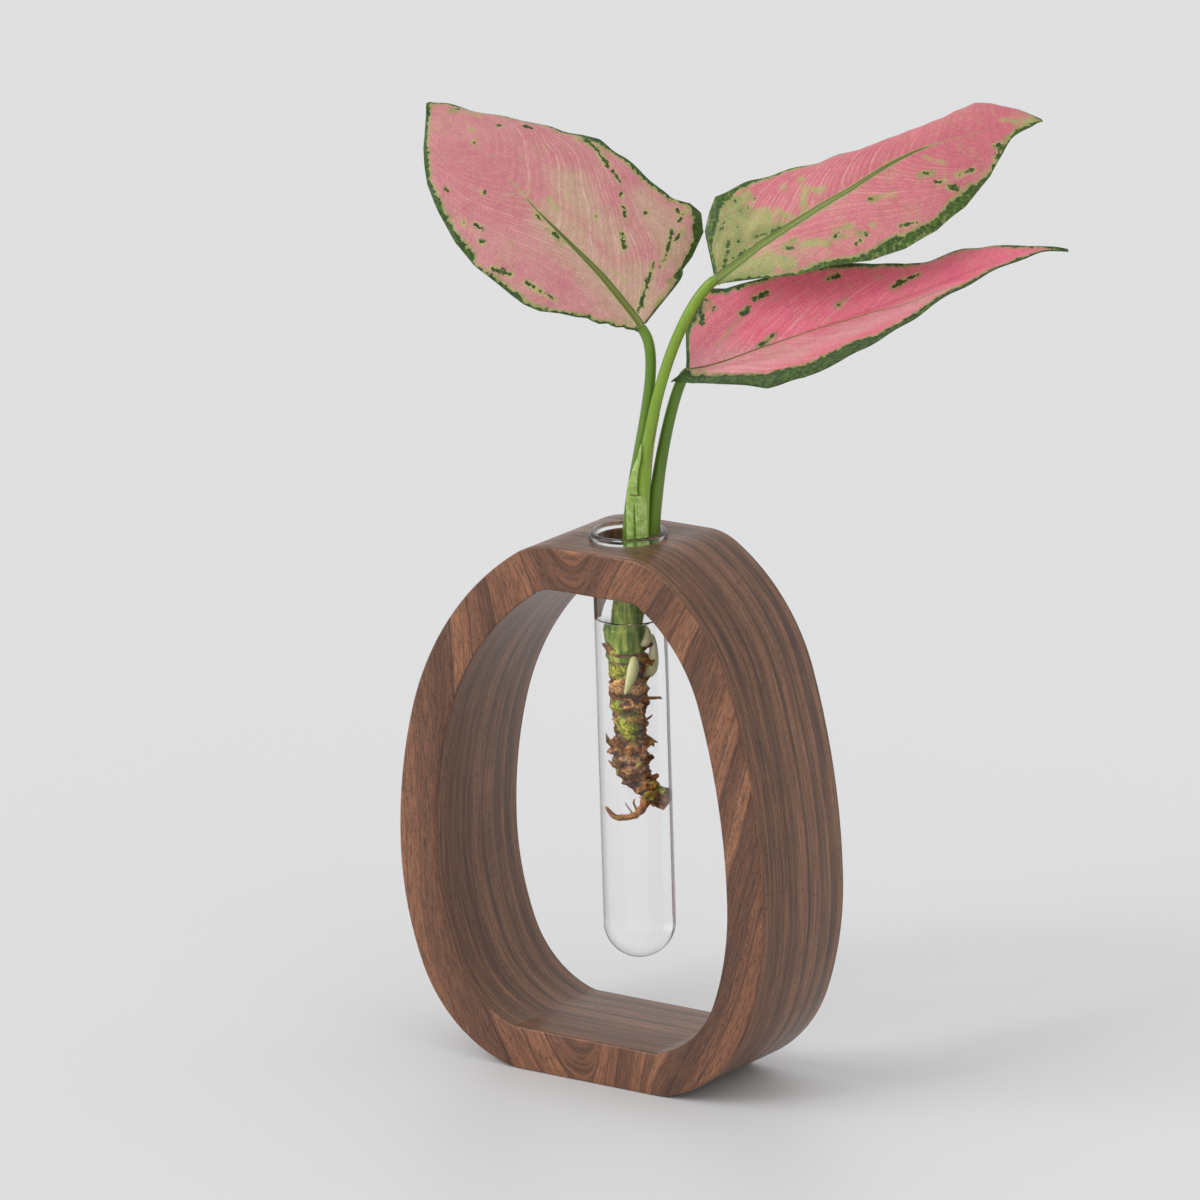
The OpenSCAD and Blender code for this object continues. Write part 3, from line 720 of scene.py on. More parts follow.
UPPER = dict(
    length=122.7, height=96, foot=(0.293, -0.034, 1), turns=(-82.4, 23.1, 55), fold=(12, 12),
    curls=((10, 170), (15, 35)), sway=(-0.06, 1.2, 0.06, 0),
    widths=(
        (0, 0.12, 0.2, 0.19, 0.165, 0.15, 0.14, 0.135, 0.14, 0.15, 0.12, 0.07, 0.004),
        (0, 0.02, 0.065, 0.13, 0.17, 0.22, 0.245, 0.235, 0.195, 0.125, 0.045, 0.02, 0.004),
    ),
    stalk=(0, -2.5474, 2.75, 0.57, 0.1),
    reach=(
        (
            (0, 1), (0.06, 1.04), (0.1, 1), (0.3, 1.04), (0.4, 1), (0.75, 1), (0.82, 1.08), (0.86, 1.12),
            (0.92, 1.05), (0.97, 1), (1, 1),
        ),
        (
            (0, 1), (0.4, 1), (0.5, 0.98), (0.65, 0.99), (0.75, 1.03), (0.8, 1.05), (0.86, 0.97), (0.9, 0.82),
            (0.94, 0.6), (1, 0.6),
        ),
    ),
    unroll=((0, 1), (0.55, 1), (0.72, 0.85), (0.8, 0.72), (0.86, 0.58), (0.93, 0.5), (1, 0.5)),
    margin=(
        (
            (0, 4.5), (0.03, 6), (0.08, 6), (0.12, 4), (0.16, 2), (0.25, 1), (0.4, 0.6), (0.78, 0.4), (0.85, 1),
            (1, 1.1),
        ),
        (
            (0, 0.5), (0.12, 0.9), (0.2, 0.8), (0.28, 1.9), (0.36, 1.8), (0.42, 3.2), (0.48, 5.2), (0.52, 4.2),
            (0.58, 3.4), (0.64, 3.6), (0.69, 4.8), (0.73, 3.6), (0.77, 1.4), (0.84, 1), (0.87, 1.2), (1, 0.8),
        ),
    ),
    rib=((0, 1.7), (0.1, 1.4), (0.3, 1.1), (0.45, 0.85), (0.57, 0.6), (0.66, 0.25), (0.75, -0.2), (1, -0.6)),
    rib_way=((0, 0), (0.15, -0.03), (0.3, 0.03), (0.44, 0.05), (0.57, 0), (0.65, -0.04), (1, 0)),
    veins=((0.33, 1.1), (0.85, 1.25)),
    pale=((0, 0, 0.14, 0.4, 6), (0.1, 0.5, 0.25, 0.6, 3), (0.95, -0.3, 1, 0, 1)),
    dark=(
        (0.145, -0.8, 0.14, -0.57, 0.2), (0.14, -0.56, 0.198, -0.64, 0.1), (0.12, -0.47, 0.1, -0.25, 0.2),
        (0.078, -0.36, 0.035, -0.13, 0.7), (0.1, -0.62, 0.06, -0.6, 0.1), (0.355, 0.52, 0.345, 0.545, 0.5),
        (0.21, 0.4, 0.225, 0.42, 0.55), (0.475, 0.29, 0.48, 0.3, 0.45), (0.446, 0.6, 0.45, 0.605, 0.4),
        (0.416, 0.67, 0.42, 0.68, 0.4), (0.4, 0.71, 0.385, 0.73, 0.5), (0.515, 0.735, 0.56, 0.807, 0.5),
        (0.718, 0.567, 0.765, 0.653, 0.6), (0.66, 0.505, 0.68, 0.53, 0.5), (0.685, 0.643, 0.7, 0.7, 0.9),
        (0.858, 0.617, 0.853, 0.61, 0.8), (0.83, 0.9, 0.88, 0.75, 0.5), (0.64, 0.31, 0.65, 0.33, 0.5),
        (0.15, -0.15, 0.22, -0.06, 0.5), (0.07, -0.1, 0.12, -0.07, 0.7),
    ),
    lime=(
        (0.02, -0.3, 0.1, -0.5, 9), (0.12, -0.45, 0.19, -0.3, 4), (0.1, -0.25, 0.22, -0.07, 2.6),
        (0.1, -0.8, 0.17, -0.75, 2.6), (0.33, -0.42, 0.296, -0.03, 1.1), (0.35, -0.3, 0.37, -0.2, 0.9),
        (0.23, -0.3, 0.26, -0.1, 0.9), (0.275, -0.653, 0.28, -0.62, 0.6), (0.336, -0.61, 0.33, -0.6, 0.8),
        (0.18, -0.4, 0.2, -0.25, 0.8), (0.05, 0.3, 0.14, 0.6, 3.4), (0.15, 0.35, 0.2, 0.75, 2.2),
        (0.2, 0.3, 0.24, 0.34, 1), (0.25, 0.45, 0.316, 0.6, 1.1), (0.475, 0.29, 0.54, 0.37, 0.6),
        (0.626, 0.3, 0.66, 0.34, 0.7), (0.4, 0.5, 0.35, 0.45, 0.4), (0.9, -0.2, 0.94, -0.1, 0.5),
        (0.96, 0, 1, 0, 1.6), (0.33, 0.55, 0.42, 0.66, 0.4), (0.7, 0.3, 0.66, 0.1, 0.25),
        (0.3, 0.08, 0.42, 0.09, 0.2),
    ),
    holes=0.6,
    face=dict(
        side_veins=10, vein_light=0.46, pink=(203, 112, 121), deep=(198, 100, 114), pale=(190, 150, 122),
        lime=(158, 172, 98), dark=(54, 86, 4), rib=(112, 128, 54),
    ),
    below=dict(
        side_veins=8, vein_light=0.2, pink=(202, 144, 138), deep=(196, 132, 130), pale=(194, 162, 136),
        lime=(166, 174, 116), dark=(84, 114, 56), rib=(146, 162, 90),
    ),
    stalk_green=((0.3, 100, 136, 26), (0.5, 127, 160, 46), (0.7, 156, 184, 78)),
)
LOWER = dict(
    length=135.8, height=63.2, foot=(0.282, 0, 1), turns=(-94.4, 17.5, 58), fold=(15, 38), curls=((10, 50), (10, 10)),
    sway=(-0.03, 5, 0.03, -25),
    widths=(
        (0, 0.09, 0.17, 0.18, 0.18, 0.165, 0.14, 0.105, 0.085, 0.06, 0.03, 0.015, 0.004),
        (0, 0.04, 0.095, 0.18, 0.205, 0.2, 0.165, 0.115, 0.075, 0.055, 0.035, 0.015, 0.004),
    ),
    stalk=(3.9, 0.96, 2.4, 0.32, 0.08),
    reach=(
        (
            (0, 1.35), (0.03, 1.3), (0.1, 1.1), (0.15, 0.98), (0.2, 0.95), (0.45, 0.97), (0.55, 0.95), (0.6, 0.89),
            (0.65, 0.87), (0.7, 0.96), (0.75, 1.1), (0.82, 1.05), (0.87, 0.8), (1, 0.7),
        ),
        (
            (0, 1), (0.35, 1.03), (0.45, 1.06), (0.5, 1.12), (0.55, 1.22), (0.6, 1.3), (0.65, 1.22), (0.7, 1.28),
            (0.8, 1.32), (0.9, 1.35), (0.95, 1), (1, 0.7),
        ),
    ),
    lobe=6.5, pleat=0.45,
    margin=(
        (
            (0, 4.5), (0.03, 5.5), (0.06, 3.6), (0.11, 1.8), (0.2, 1), (0.3, 0.9), (0.4, 1.3), (0.46, 1.9),
            (0.56, 1.1), (0.62, 0.5), (0.72, 0.1), (0.84, 0.4), (0.9, 1.2), (1, 1.4),
        ),
        (
            (0, 2.2), (0.04, 2.4), (0.136, 5), (0.228, 7.5), (0.32, 6), (0.4, 7), (0.44, 6.5), (0.5, 3.6),
            (0.56, 2.8), (0.62, 2.5), (0.68, 2.1), (0.75, 1.5), (0.9, 0.8), (1, 1),
        ),
    ),
    rib=((0, 0.5), (0.2, 0.3), (0.5, 0.22), (0.64, 0.1), (0.78, -0.1), (1, -0.4)),
    rib_way=(
        (0, 0.12), (0.05, 0.15), (0.176, 0.04), (0.356, 0.05), (0.5, 0.167), (0.64, 0.457), (0.784, 0.93), (1, 1),
    ),
    veins=((0.45, 1.05), (0.5, 1.05)),
    pale=((0.04, 0.35, 0.3, 0.35, 7), (0.3, 0.35, 0.5, 0.4, 6), (0.5, 0.45, 0.7, 0.75, 3)),
    dark=(
        (0.07, -0.64, 0.075, -0.7, 0.9), (0.1, -0.68, 0.11, -0.72, 0.6), (0.168, -0.55, 0.19, -0.6, 1),
        (0.214, -0.72, 0.245, -0.75, 0.9), (0.404, -0.727, 0.431, -0.767, 0.9), (0.557, -0.31, 0.591, -0.443, 0.9),
        (0.603, -0.47, 0.627, -0.523, 0.7), (0.195, -0.01, 0.235, -0.087, 0.6), (0.787, 0.717, 0.815, 0.833, 0.5),
        (0.05, -0.8, 0.09, -0.9, 0.8), (0.41, -0.235, 0.42, -0.25, 0.5), (0.155, 0.7, 0.2, 0.8, 0.5),
    ),
    lime=(
        (0.406, -0.233, 0.435, -0.28, 0.4), (0.188, 0, 0.235, -0.087, 0.35), (0.09, -0.2, 0.16, -0.5, 0.1),
        (0.03, 0.5, 0.12, 0.75, 1.1), (0.12, 0.7, 0.22, 0.76, 0.6), (0.04, -0.75, 0.1, -0.78, 0.7),
        (0.52, -0.59, 0.53, -0.6, 0.1), (0.376, -0.037, 0.38, -0.04, 0.2), (0.4, 0.8, 0.5, 0.85, 0.3),
    ),
    holes=0.2,
    face=dict(
        side_veins=8, vein_light=0.3, pink=(220, 114, 132), deep=(222, 98, 124), pale=(208, 142, 146),
        lime=(146, 156, 84), dark=(42, 74, 8), rib=(122, 80, 56),
    ),
    below=dict(
        side_veins=8, vein_light=0.2, pink=(198, 132, 134), deep=(192, 118, 124), pale=(196, 148, 138),
        lime=(148, 160, 102), dark=(76, 102, 54), rib=(146, 150, 90),
    ),
    stalk_green=((0.3, 70, 104, 14), (0.5, 90, 124, 26), (0.7, 112, 142, 44)),
)
LEAVES = {"left": LEFT, "upper": UPPER, "lower": LOWER}


def blade_dir(leaf):
    h, p = math.radians(leaf["turns"][0]), math.radians(leaf["turns"][1])
    return Vector((-math.sin(h) * math.cos(p), math.cos(h) * math.cos(p), math.sin(p)))


def foot_of(leaf):
    return STEM_TOP + leaf["height"] * Vector(leaf["foot"])


def half_width(leaf, s, t):
    """Half width in mm on the side of s, at t."""
    left, right = (np.interp(t, PLACES, leaf["widths"][i]) * table(leaf["reach"][i], t) for i in (0, 1))
    return 1.8 * (1 - t) ** 12 + leaf["length"] * np.maximum(0.004, np.where(s < 0, left, right))


def blade_points(leaf, s, t, lift):
    """Places in mm, in the cutting's frame, at s across and t along a blade, lifted off its upper face."""
    far = np.abs(s)
    (left_foot, left_tip), (right_foot, right_tip) = leaf["curls"]
    curl_left = (left_foot + (left_tip - left_foot) * t) * table(leaf.get("unroll", EVEN), t)
    curl = np.where(s < 0, curl_left, right_foot + (right_tip - right_foot) * t)
    fold = np.where(s < 0, *leaf["fold"])
    f, e = np.radians(fold), np.radians(fold - curl * far)
    k = half_width(leaf, s, t) * 180 / (curl * math.pi)
    lift = lift + 1.8 * (1 - t) ** 20 * np.sqrt(np.maximum(0, 1 - s * s))
    x = np.where(s < 0, -1.0, 1.0) * (k * (np.sin(f) - np.sin(e)) - np.sin(e) * lift * np.minimum(1, far * 8))
    z = k * (np.cos(e) - np.cos(f)) + np.cos(e) * lift
    sideways, late, bow, lean = leaf["sway"]
    w = np.radians(lean * t)
    back = np.where(s < 0, 0, leaf.get("lobe", 0)) * far**2 * np.exp(-t / 0.05)
    local = np.stack((
        leaf["length"] * sideways * np.sin(math.pi * t**late) + x * np.cos(w) + z * np.sin(w),
        leaf["length"] * 0.9999 * t - back,
        leaf["length"] * bow * np.sin(math.pi * t) - x * np.sin(w) + z * np.cos(w),
    ), -1)
    h, pitch, roll = (math.radians(v) for v in leaf["turns"])
    turn = Matrix.Rotation(h, 3, "Z") @ Matrix.Rotation(pitch, 3, "X") @ Matrix.Rotation(roll, 3, "Y")
    return np.array(foot_of(leaf)) + local @ np.array(turn).T


def to_world(p):
    """Places in metres of points given in mm in the cutting's frame, one in each row."""
    x, y, z = p.T
    return np.stack((CROWN_X + (x * COS - y * SIN) * MM, (x * SIN + y * COS) * MM, z * MM), -1)


def from_marks(leaf, s, t, marks):
    """Distance in mm to the nearest of the marks, and less than 0 in one."""
    x, y = s * half_width(leaf, s, t), t * leaf["length"]
    nearest = np.full(s.shape, 9.0)
    for t0, s0, t1, s1, r in marks:
        ends = np.array((s0, s1)), np.array((t0, t1))
        (ax, bx), (ay, by) = ends[0] * half_width(leaf, *ends), ends[1] * leaf["length"]
        dx, dy = bx - ax, by - ay
        k = np.clip(((x - ax) * dx + (y - ay) * dy) / (dx * dx + dy * dy + 1e-6), 0, 1)
        nearest = np.minimum(nearest, np.hypot(x - ax - k * dx, y - ay - k * dy) - r)
    return nearest


def make_blade(name, leaf, finishes):
    """Leaf blade: a grid laid on the blade's form with its relief, given thickness and a midrib below."""
    bpy.ops.mesh.primitive_grid_add(x_subdivisions=96, y_subdivisions=190, size=2)
    blade = bpy.context.object
    mesh = blade.data
    flat = np.empty(len(mesh.vertices) * 3)
    mesh.vertices.foreach_get("co", flat)
    flat = flat.reshape(-1, 3)
    s, t = np.clip(flat[:, 0], -1, 1), np.clip((flat[:, 1] + 1) / 2, 0, 1)
    far = np.abs(s)
    wide = half_width(leaf, s, t)
    rim = (1 - far) * wide
    band = np.where(s < 0, table(leaf["margin"][0], t), table(leaf["margin"][1], t))
    rib_at = table(leaf["rib_way"], t)
    rib = np.abs(s * wide - rib_at * half_width(leaf, rib_at, t)) - table(leaf["rib"], t)
    bend = np.minimum(0.9, np.where(s < 0, *(k * far**p for k, p in leaf["veins"])))
    vein = (t - bend) / (1 - bend)
    ripple = 0.1 * np.cos(2 * math.pi * vein * 11) * np.minimum(1, rim / 4) * np.minimum(1, far * 4)
    wave = 0.35 * np.sin(t * 47 + s) * far**6
    ridge = 0.22 * np.exp(-((rib + 0.4) / 0.5) ** 2) * (rib < 3) * (table(leaf["rib"], t) > 0)
    pleat = leaf.get("pleat", 0) * np.sin(s * 17 + 1) * np.minimum(1, 5 * np.maximum(0, s - rib_at))
    pleat = pleat * np.minimum(1, 4 * (1 - far))
    lift = -0.1 + (ripple + wave + pleat * (1 - t)) * np.minimum(1, t * 8) + ridge
    mesh.vertices.foreach_set("co", to_world(blade_points(leaf, s, t, lift)).ravel())
    write(
        mesh, dark=np.minimum(rim - band, from_marks(leaf, s, t, leaf["dark"])),
        lime=np.minimum(rim - band - 0.5, from_marks(leaf, s, t, leaf["lime"])),
        pale=from_marks(leaf, s, t, leaf["pale"]), rib=rib, vein=vein,
    )
    mesh.update()
    for m in finishes:
        mesh.materials.append(m)
    apply(blade, "SOLIDIFY", thickness=0.45 * MM, offset=-1, material_offset=1, material_offset_rim=0)
    return smooth(join(name, blade))


def stalk_path(leaf):
    """The four points of the curve that a leaf's stalk follows."""
    x, y, _, straight, bend = leaf["stalk"]
    high = leaf["height"]
    start, end = STEM_TOP + Vector((x, y, 0)), foot_of(leaf)
    return [start, start + Vector((0, 0, high * straight)), end - high * bend * blade_dir(leaf), end]


def make_stalk(name, leaf):
    foot_r = leaf["stalk"][2]
    ts = shares(70)
    places = [bezier(stalk_path(leaf), t) for t in ts]
    stout = ((0, foot_r - 0.05), (9, foot_r + 0.1), (20, foot_r), (30, foot_r * 0.9), (44, 1.98), (60, 1.88))
    radii = [(float(table(stout, q.z - STEM_TOP.z)) - 0.13 * t**6) * MM for q, t in zip(places, ts)]
    return smooth(rod(name, [world(q) for q in places], radii, 28))


def make_sheath():
    """Old leaf sheath in front of the stalks, with a torn top and a slip that runs up the front stalk."""
    stalk_at = [bezier(stalk_path(UPPER), t) - STEM_TOP for t in shares(200)]
    heights = [p.z for p in stalk_at]

    def strip(lefts, rights, low, high, cols, rows, off):
        """Skin between two angles that depend on the height, first round the bundle, then round the stalk."""
        bpy.ops.mesh.primitive_grid_add(x_subdivisions=cols, y_subdivisions=rows, size=2)
        skin = bpy.context.object
        greens, tans = [], []
        for v in skin.data.vertices:
            h = low + (high - low) * (v.co.y + 1) / 2
            a0, a1 = table(lefts, h), table(rights, h)
            a = math.radians(a0 + (a1 - a0) * (v.co.x + 1) / 2)
            torn = 1.6 * noise.noise(Vector((v.co.x * 5, 0, 1))) - 1.1 * v.co.x
            h += torn * max(0, 1 - abs(h - 22.5) / 4)
            near = stalk_at[min(200, max(0, int(np.interp(h, heights, range(201)))))]
            k = min(1, max(0, (h - 20) / 22))
            k = k * k * (3 - 2 * k)
            # Crease: where the sheath folds in, deepened in shape and also painted darker green as painted shade. The
            # green near the foot is the sheath's own colour.
            crease = math.exp(-(((math.degrees(a) - 251) / (1.5 + max(0, 19 - h) * 0.28)) ** 2)) * (h < 19)
            greens.append(max(crease * 1.4, 0.5 - h / 11))
            tans.append(1 - (22.3 - h) / 0.8 if a0 + 16 < math.degrees(a) and h < 22.4 else -1)
            folds = 0.09 * math.sin(v.co.x * 24) - 0.5 * crease
            r = (5.75 + folds) * (1 - k) + (2.75 - 0.012 * h + off) * k
            x, y = near.x * k + r * math.cos(a), near.y * k + r * math.sin(a)
            v.co = world(STEM_TOP + Vector((x, y, 0.02 + h)))
        write(skin.data, green=greens, tan=tans)
        apply(skin, "SOLIDIFY", thickness=0.4 * MM, offset=0)
        return smooth(skin)

    lefts = ((0, 217), (17, 220), (24, 222), (29, 226), (35, 228), (39.5, 216))
    rights = ((0, 297), (21.7, 292), (22.6, 266), (24, 262), (35, 250), (39.5, 219))
    sleeve = strip(lefts, rights, 0, 39.4, 64, 120, 0.3)
    dry = strip(((0, 300), (32, 304), (50, 328)), ((0, 326), (32, 328), (50, 331)), 31, 50, 8, 40, 0.1)
    return sleeve, dry


# ---------------------------------------------------------------- finishes

ORIGIN = (0.0, 0.0, 0.0)
WHITE = (1, 1, 1)


def make_grain_group():
    """Walnut grain across the given coordinate: growth rings with one sharp edge, fibres and pores."""
    tree, i, out = group(
        "walnut grain", {"Vector": ORIGIN, "Across": 0.0, "Rings": 300.0, "Fibre scale": ORIGIN, "Pore scale": ORIGIN},
        {"Tone": 0.0, "Edge": 0.0, "Fibre": 0.0, "Pore": 0.0},
    )
    uneven = field(tree, "TexNoise", {"noise_dimensions": "1D"}, W=i["Across"], Scale=70.0, Detail=1.0)
    place = i["Across"] * i["Rings"] + uneven * 1.5
    number, part = calc("FLOOR", place), calc("FRACT", place)

    def of_ring(offset):
        """A value from 0 to 1 that changes from ring to ring."""
        return field(tree, "TexWhiteNoise", {"noise_dimensions": "1D"}, W=number + offset)

    late = part.step(0.72, 0.97) * part.inside(0.97, 1.0)
    wire(
        out, Tone=field(tree, "Mix", {}, part.step(0.55, 1.0), None, of_ring(0.5), of_ring(1.5)),
        Edge=late * (of_ring(7.5) * 0.75 + 0.25), Fibre=clouds(i["Vector"], 1.0, 3.0, 0.6, i["Fibre scale"]),
        Pore=clouds(i["Vector"], 1.0, 1.0, 0.6, i["Pore scale"]).step(0.56, 0.68),
    )
    return tree


def walnut(name, grain, across_from, rings, fibre, pore, band, shift, stops, dark, depth, contrast):
    """Walnut with its rings across the coordinate that across_from makes from the place on the piece."""
    mat, tree, shader, place = material(name)
    across, leaned = across_from(place)
    node = new_node(tree, "Group", {"node_tree": grain}, leaned, across, rings, fibre, pore)
    tone, edge, fibres, pores = (Field(socket) for socket in node.outputs)
    bands = field(tree, "VectorMath", {"operation": "MULTIPLY_ADD"}, leaned, band, shift)
    base = tones(tone * 0.42 + clouds(bands, 1.0) * 0.6, stops)
    lines = ramp(fibres, (0.3, 0.4, 0.37, 0.35), (0.5, 0.98, 0.98, 0.98), (0.7, 1.5, 1.48, 1.45))
    lined = mix(contrast, mix(edge * depth, base, dark), lines, "MULTIPLY")
    wire(
        shader, Base_Color=mix(pores * 0.62, lined, dark), Roughness=fibres * 0.14 + 0.42,
        Normal=relief(fibres - pores, 0.22, 0.0002), Specular_IOR_Level=0.3, Coat_Weight=0.35, Coat_Roughness=0.22,
    )
    return mat


def above_zero(value):
    """The value where it is over 0, and nearly 0 elsewhere, with a soft bend between."""
    return (value + calc("SQRT", value * value + 0.0001)) * 0.5


def parts(place):
    return [Field(socket) for socket in new_node(place.tree, "SeparateXYZ", {}, place).outputs]


def across_face(place):
    """Rings nested like a row of U shapes: upright on the left limb, leaning on the right one."""
    x, y, z = parts(place)
    out, down = x - 0.001, RING_H - z
    wide = calc("SQRT", out * out + 0.0004)
    slant = down * calc("MULTIPLY_ADD", out.step(0.0, 0.03), 0.22, 0.04)
    crown, base = above_zero(0.026 - down) * -0.32, above_zero(0.04 - z) * 0.32
    warp = (clouds(place, 1.0, stretch=(16, 16, 7)) - 0.5) * 0.014
    across = wide + slant + (crown + base) + warp
    return across, field(place.tree, "CombineXYZ", {}, across, y, z)


def across_side(place):
    """Rings that follow the band round."""
    x, y, z = parts(place)
    across = y + (clouds(place, 9.0) - 0.5) * 0.004
    return across, field(place.tree, "CombineXYZ", {}, x, across, z)


def let_lamps_through(mat, tree, shader):
    """Glass and water let the lamps light what is behind them."""
    shadow = field(tree, "LightPath", {}, out="Is Shadow Ray")
    clear = field(tree, "BsdfTransparent", {})
    wire(tree.nodes["Material Output"], field(tree, "MixShader", {}, shadow, Field(shader.outputs[0]), clear))
    return mat


def glass(name, ior, dark):
    """Clear glass whose colour darkens where it is seen edge on, from the given share of Facing: painted dark edges in
    place of the dark reflections that glass shows there.
    """
    mat, tree, shader, place = material(name)
    facing = field(tree, "LayerWeight", {}, out="Facing", Blend=0.5)
    # Painted reflection: the base colour turns dark towards a grazing view, from the given share of Facing on.
    edge = ramp(facing, (0.0, *WHITE), (dark, 0.99, 1, 0.995), (0.82, 0.5, 0.52, 0.52), (0.95, 0.03, 0.04, 0.04))
    smear = clouds(place, 90.0).step(0.55, 0.8) * 0.02
    wire(shader, Base_Color=edge, Roughness=smear, Transmission_Weight=1, Specular_Tint=(0.35, 0.35, 0.35, 1), IOR=ior)
    return let_lamps_through(mat, tree, shader)


def water_finish():
    mat, tree, shader, place = material("clear water")
    ripple = relief(clouds(place, 120.0), 0.02, 0.0002)
    wire(shader, Base_Color=(1, 1, 1, 1), Roughness=0, Transmission_Weight=1, Specular_Tint=(0.5, 0.5, 0.5, 1),
         IOR=1.333, Normal=ripple)
    return let_lamps_through(mat, tree, shader)


def plant_finish(name, stops, streak, scale, rough):
    """Fleshy plant skin: blotches, fine streaks along Z and a soft shine, with painted light and shade: lighter where
    the skin faces the view, darker where it is seen edge on.
    """
    mat, tree, shader, place = material(name)
    blotch = clouds(place, 1.0, 4.0, 0.6, (scale, scale, scale * 0.35))
    fibre = clouds(place, 1.0, 1.0, stretch=(1500, 1500, 60))
    streaked = times(tones(blotch, stops), ramp(fibre, (0.35, *(1 - streak,) * 3), (0.65, *WHITE)))
    facing = field(tree, "LayerWeight", {}, out="Facing", Blend=0.5)
    # Painted highlight and shade: the colour is lifted where the skin faces the view and darkened where it is seen edge
    # on.
    rim = ramp(facing, (0.0, 1.12, 1.1, 1.1), (0.45, *WHITE), (0.95, 0.55, 0.62, 0.4))
    wire(shader, Base_Color=times(streaked, rim), Roughness=calc("MULTIPLY_ADD", blotch, 0.2, rough - 0.1),
         Normal=relief(fibre, 0.1, 0.0001))
    return mat


def bark_finish(name, browns, greens, tans, rough, fleck=0.8, ragged=1.8, spot=(1500, 1500, 1500)):
    """Rough bark with green and tan patches where the mesh has them, and painted shade in the hollows and painted
    highlight on the raised places, from the relief that the mesh holds.
    """
    mat, tree, shader, place = material(name)
    big = clouds(place, 420.0, 4.0, 0.65)
    small = clouds(place, 1.0, stretch=spot)

    def own(label):
        return field(tree, "Attribute", {"attribute_name": label}, out="Fac")

    def patch(label, stops, under, low, high):
        return mix((own(label) + (big - 0.5) * ragged).step(low, high), under, tones(small, stops))

    tanned = patch("tan", tans, tones(big, browns), 0.05, 0.4)
    greened = patch("green", greens, tanned, 0.02, 0.3)
    flecks = ramp(small, (0.32, 0.58, 0.54, 0.5), (0.5, *WHITE), (0.7, 1.32, 1.26, 1.18))
    # Painted shade and highlight: darker where the relief sinks, lighter where it stands up.
    height = calc("MULTIPLY_ADD", own("relief"), 0.5, 0.5)
    lit = ramp(height, (0.2, 0.38, 0.34, 0.3), (0.5, *WHITE), (0.85, 1.7, 1.6, 1.5))
    wire(shader, Base_Color=times(mix(fleck, greened, flecks, "MULTIPLY"), lit), Roughness=rough,
         Normal=relief(big + small * 0.4, 0.5, 0.0003))
    return mat


MARKS = ("Dark", "Lime", "Pale", "Rib", "Vein")
INKS = ("Pink", "Deep", "Pale", "Lime", "Dark", "Rib")


def make_leaf_group():
    """Leaf skin: pink ground, side veins, midrib, pale green and dark green marks with ragged edges."""
    tree, i, out = group(
        "leaf skin",
        {"Vector": ORIGIN, **dict.fromkeys(MARKS, 5.0), "Side veins": 8.0, "Vein light": 0.5, "Holes": 0.0,
         **{ink + " colour": (1, 1, 1, 1) for ink in INKS}},
        {"Color": (1, 1, 1, 1), "Height": 0.0, "Sheen": 0.5},
    )
    pink, deep, pale_ink, lime_ink, dark_ink, rib_ink = (i[ink + " colour"] for ink in INKS)
    marks_dark, marks_lime, marks_pale, rib, vein = (i[mark] for mark in MARKS)
    big, mid, small, fine, hazy, blots = (
        clouds(i["Vector"], scale, detail)
        for scale, detail in ((38, 2), (330, 3), (850, 3), (2300, 1), (120, 4), (520, 2))
    )

    def shifted(value, by, reach):
        """Value moved up or down by noise of the given reach in mm."""
        return value + (by - 0.5) * reach

    def lines(count, low, high, waver):
        """Side veins: lines at even steps of the vein coordinate."""
        return calc("PINGPONG", shifted(vein * count, big, waver), 0.5).inside(low, high)

    dark = shifted(shifted(marks_dark, mid, 3.2), small, 2.6)
    lime = shifted(shifted(marks_lime, mid, 3.4), small, 1.6)
    lime_mask = lime.inside(-1.2, 1.4) * 0.85
    shade = dark.inside(0.0, 4.5) * (lime_mask * 0.4)
    halo = dark.inside(0.0, 1.3) * (mid.step(0.3, 0.62) * 0.85)
    hole = blots.step(0.54, 0.62) * marks_dark.inside(-2.0, -0.9)
    dark_mask = dark.inside(-0.35, 0.1) * (1.0 - hole * i["Holes"])

    main = lines(i["Side veins"], 0.0, 0.055, 1.4) * vein.inside(0.35, 0.75)
    minor = lines(i["Side veins"] * 4.0, 0.02, 0.32, 2.4) * (0.42 - vein.step(0.3, 0.8) * 0.3)
    veins = calc("MINIMUM", main + minor, 1.0)

    ground = mix(big.step(0.35, 0.65), pink, deep)
    ground = mix(shifted(marks_pale, big, 9.0).inside(-5.0, 5.0) * 0.75, ground, pale_ink)
    ground = mix((hazy * small).step(0.24, 0.44) * 0.3, ground, lime_ink)
    veined = mix(veins * mid.step(0.25, 0.55) * i["Vein light"], ground, srgb(228, 190, 178))
    veined = mix(rib.inside(0.1, 0.75) * 0.5, veined, lime_ink)
    limed = mix(lime_mask, veined, mix(small.step(0.45, 0.8), lime_ink, pale_ink))
    limed = mix(shade, mix(halo, limed, lime_ink), dark_ink)
    dark_tone = ramp(small, (0.34, 0.45, 0.5, 0.4), (0.5, *WHITE), (0.68, 2.3, 1.9, 1.9))
    darkened = mix(dark_mask, limed, times(dark_ink, dark_tone))
    ridge = ramp(rib.step(-1.1, 0.0), (0.0, 1.25, 1.2, 1.25), (0.45, *WHITE), (1.0, 0.55, 0.6, 0.5))
    ribbed = mix(rib.inside(-0.15, 0.2), darkened, times(rib_ink, ridge))
    grain = ramp(fine, (0.33, 0.84, 0.84, 0.83), (0.5, *WHITE), (0.68, 1.13, 1.12, 1.12))
    broad = ramp(mid, (0.3, 0.96, 0.94, 0.94), (0.7, 1.03, 1.04, 1.04))
    wire(out, Color=times(ribbed, times(grain, broad)), Height=fine * 0.3 - veins * 0.6, Sheen=mid * 0.16 + 0.4)
    return tree


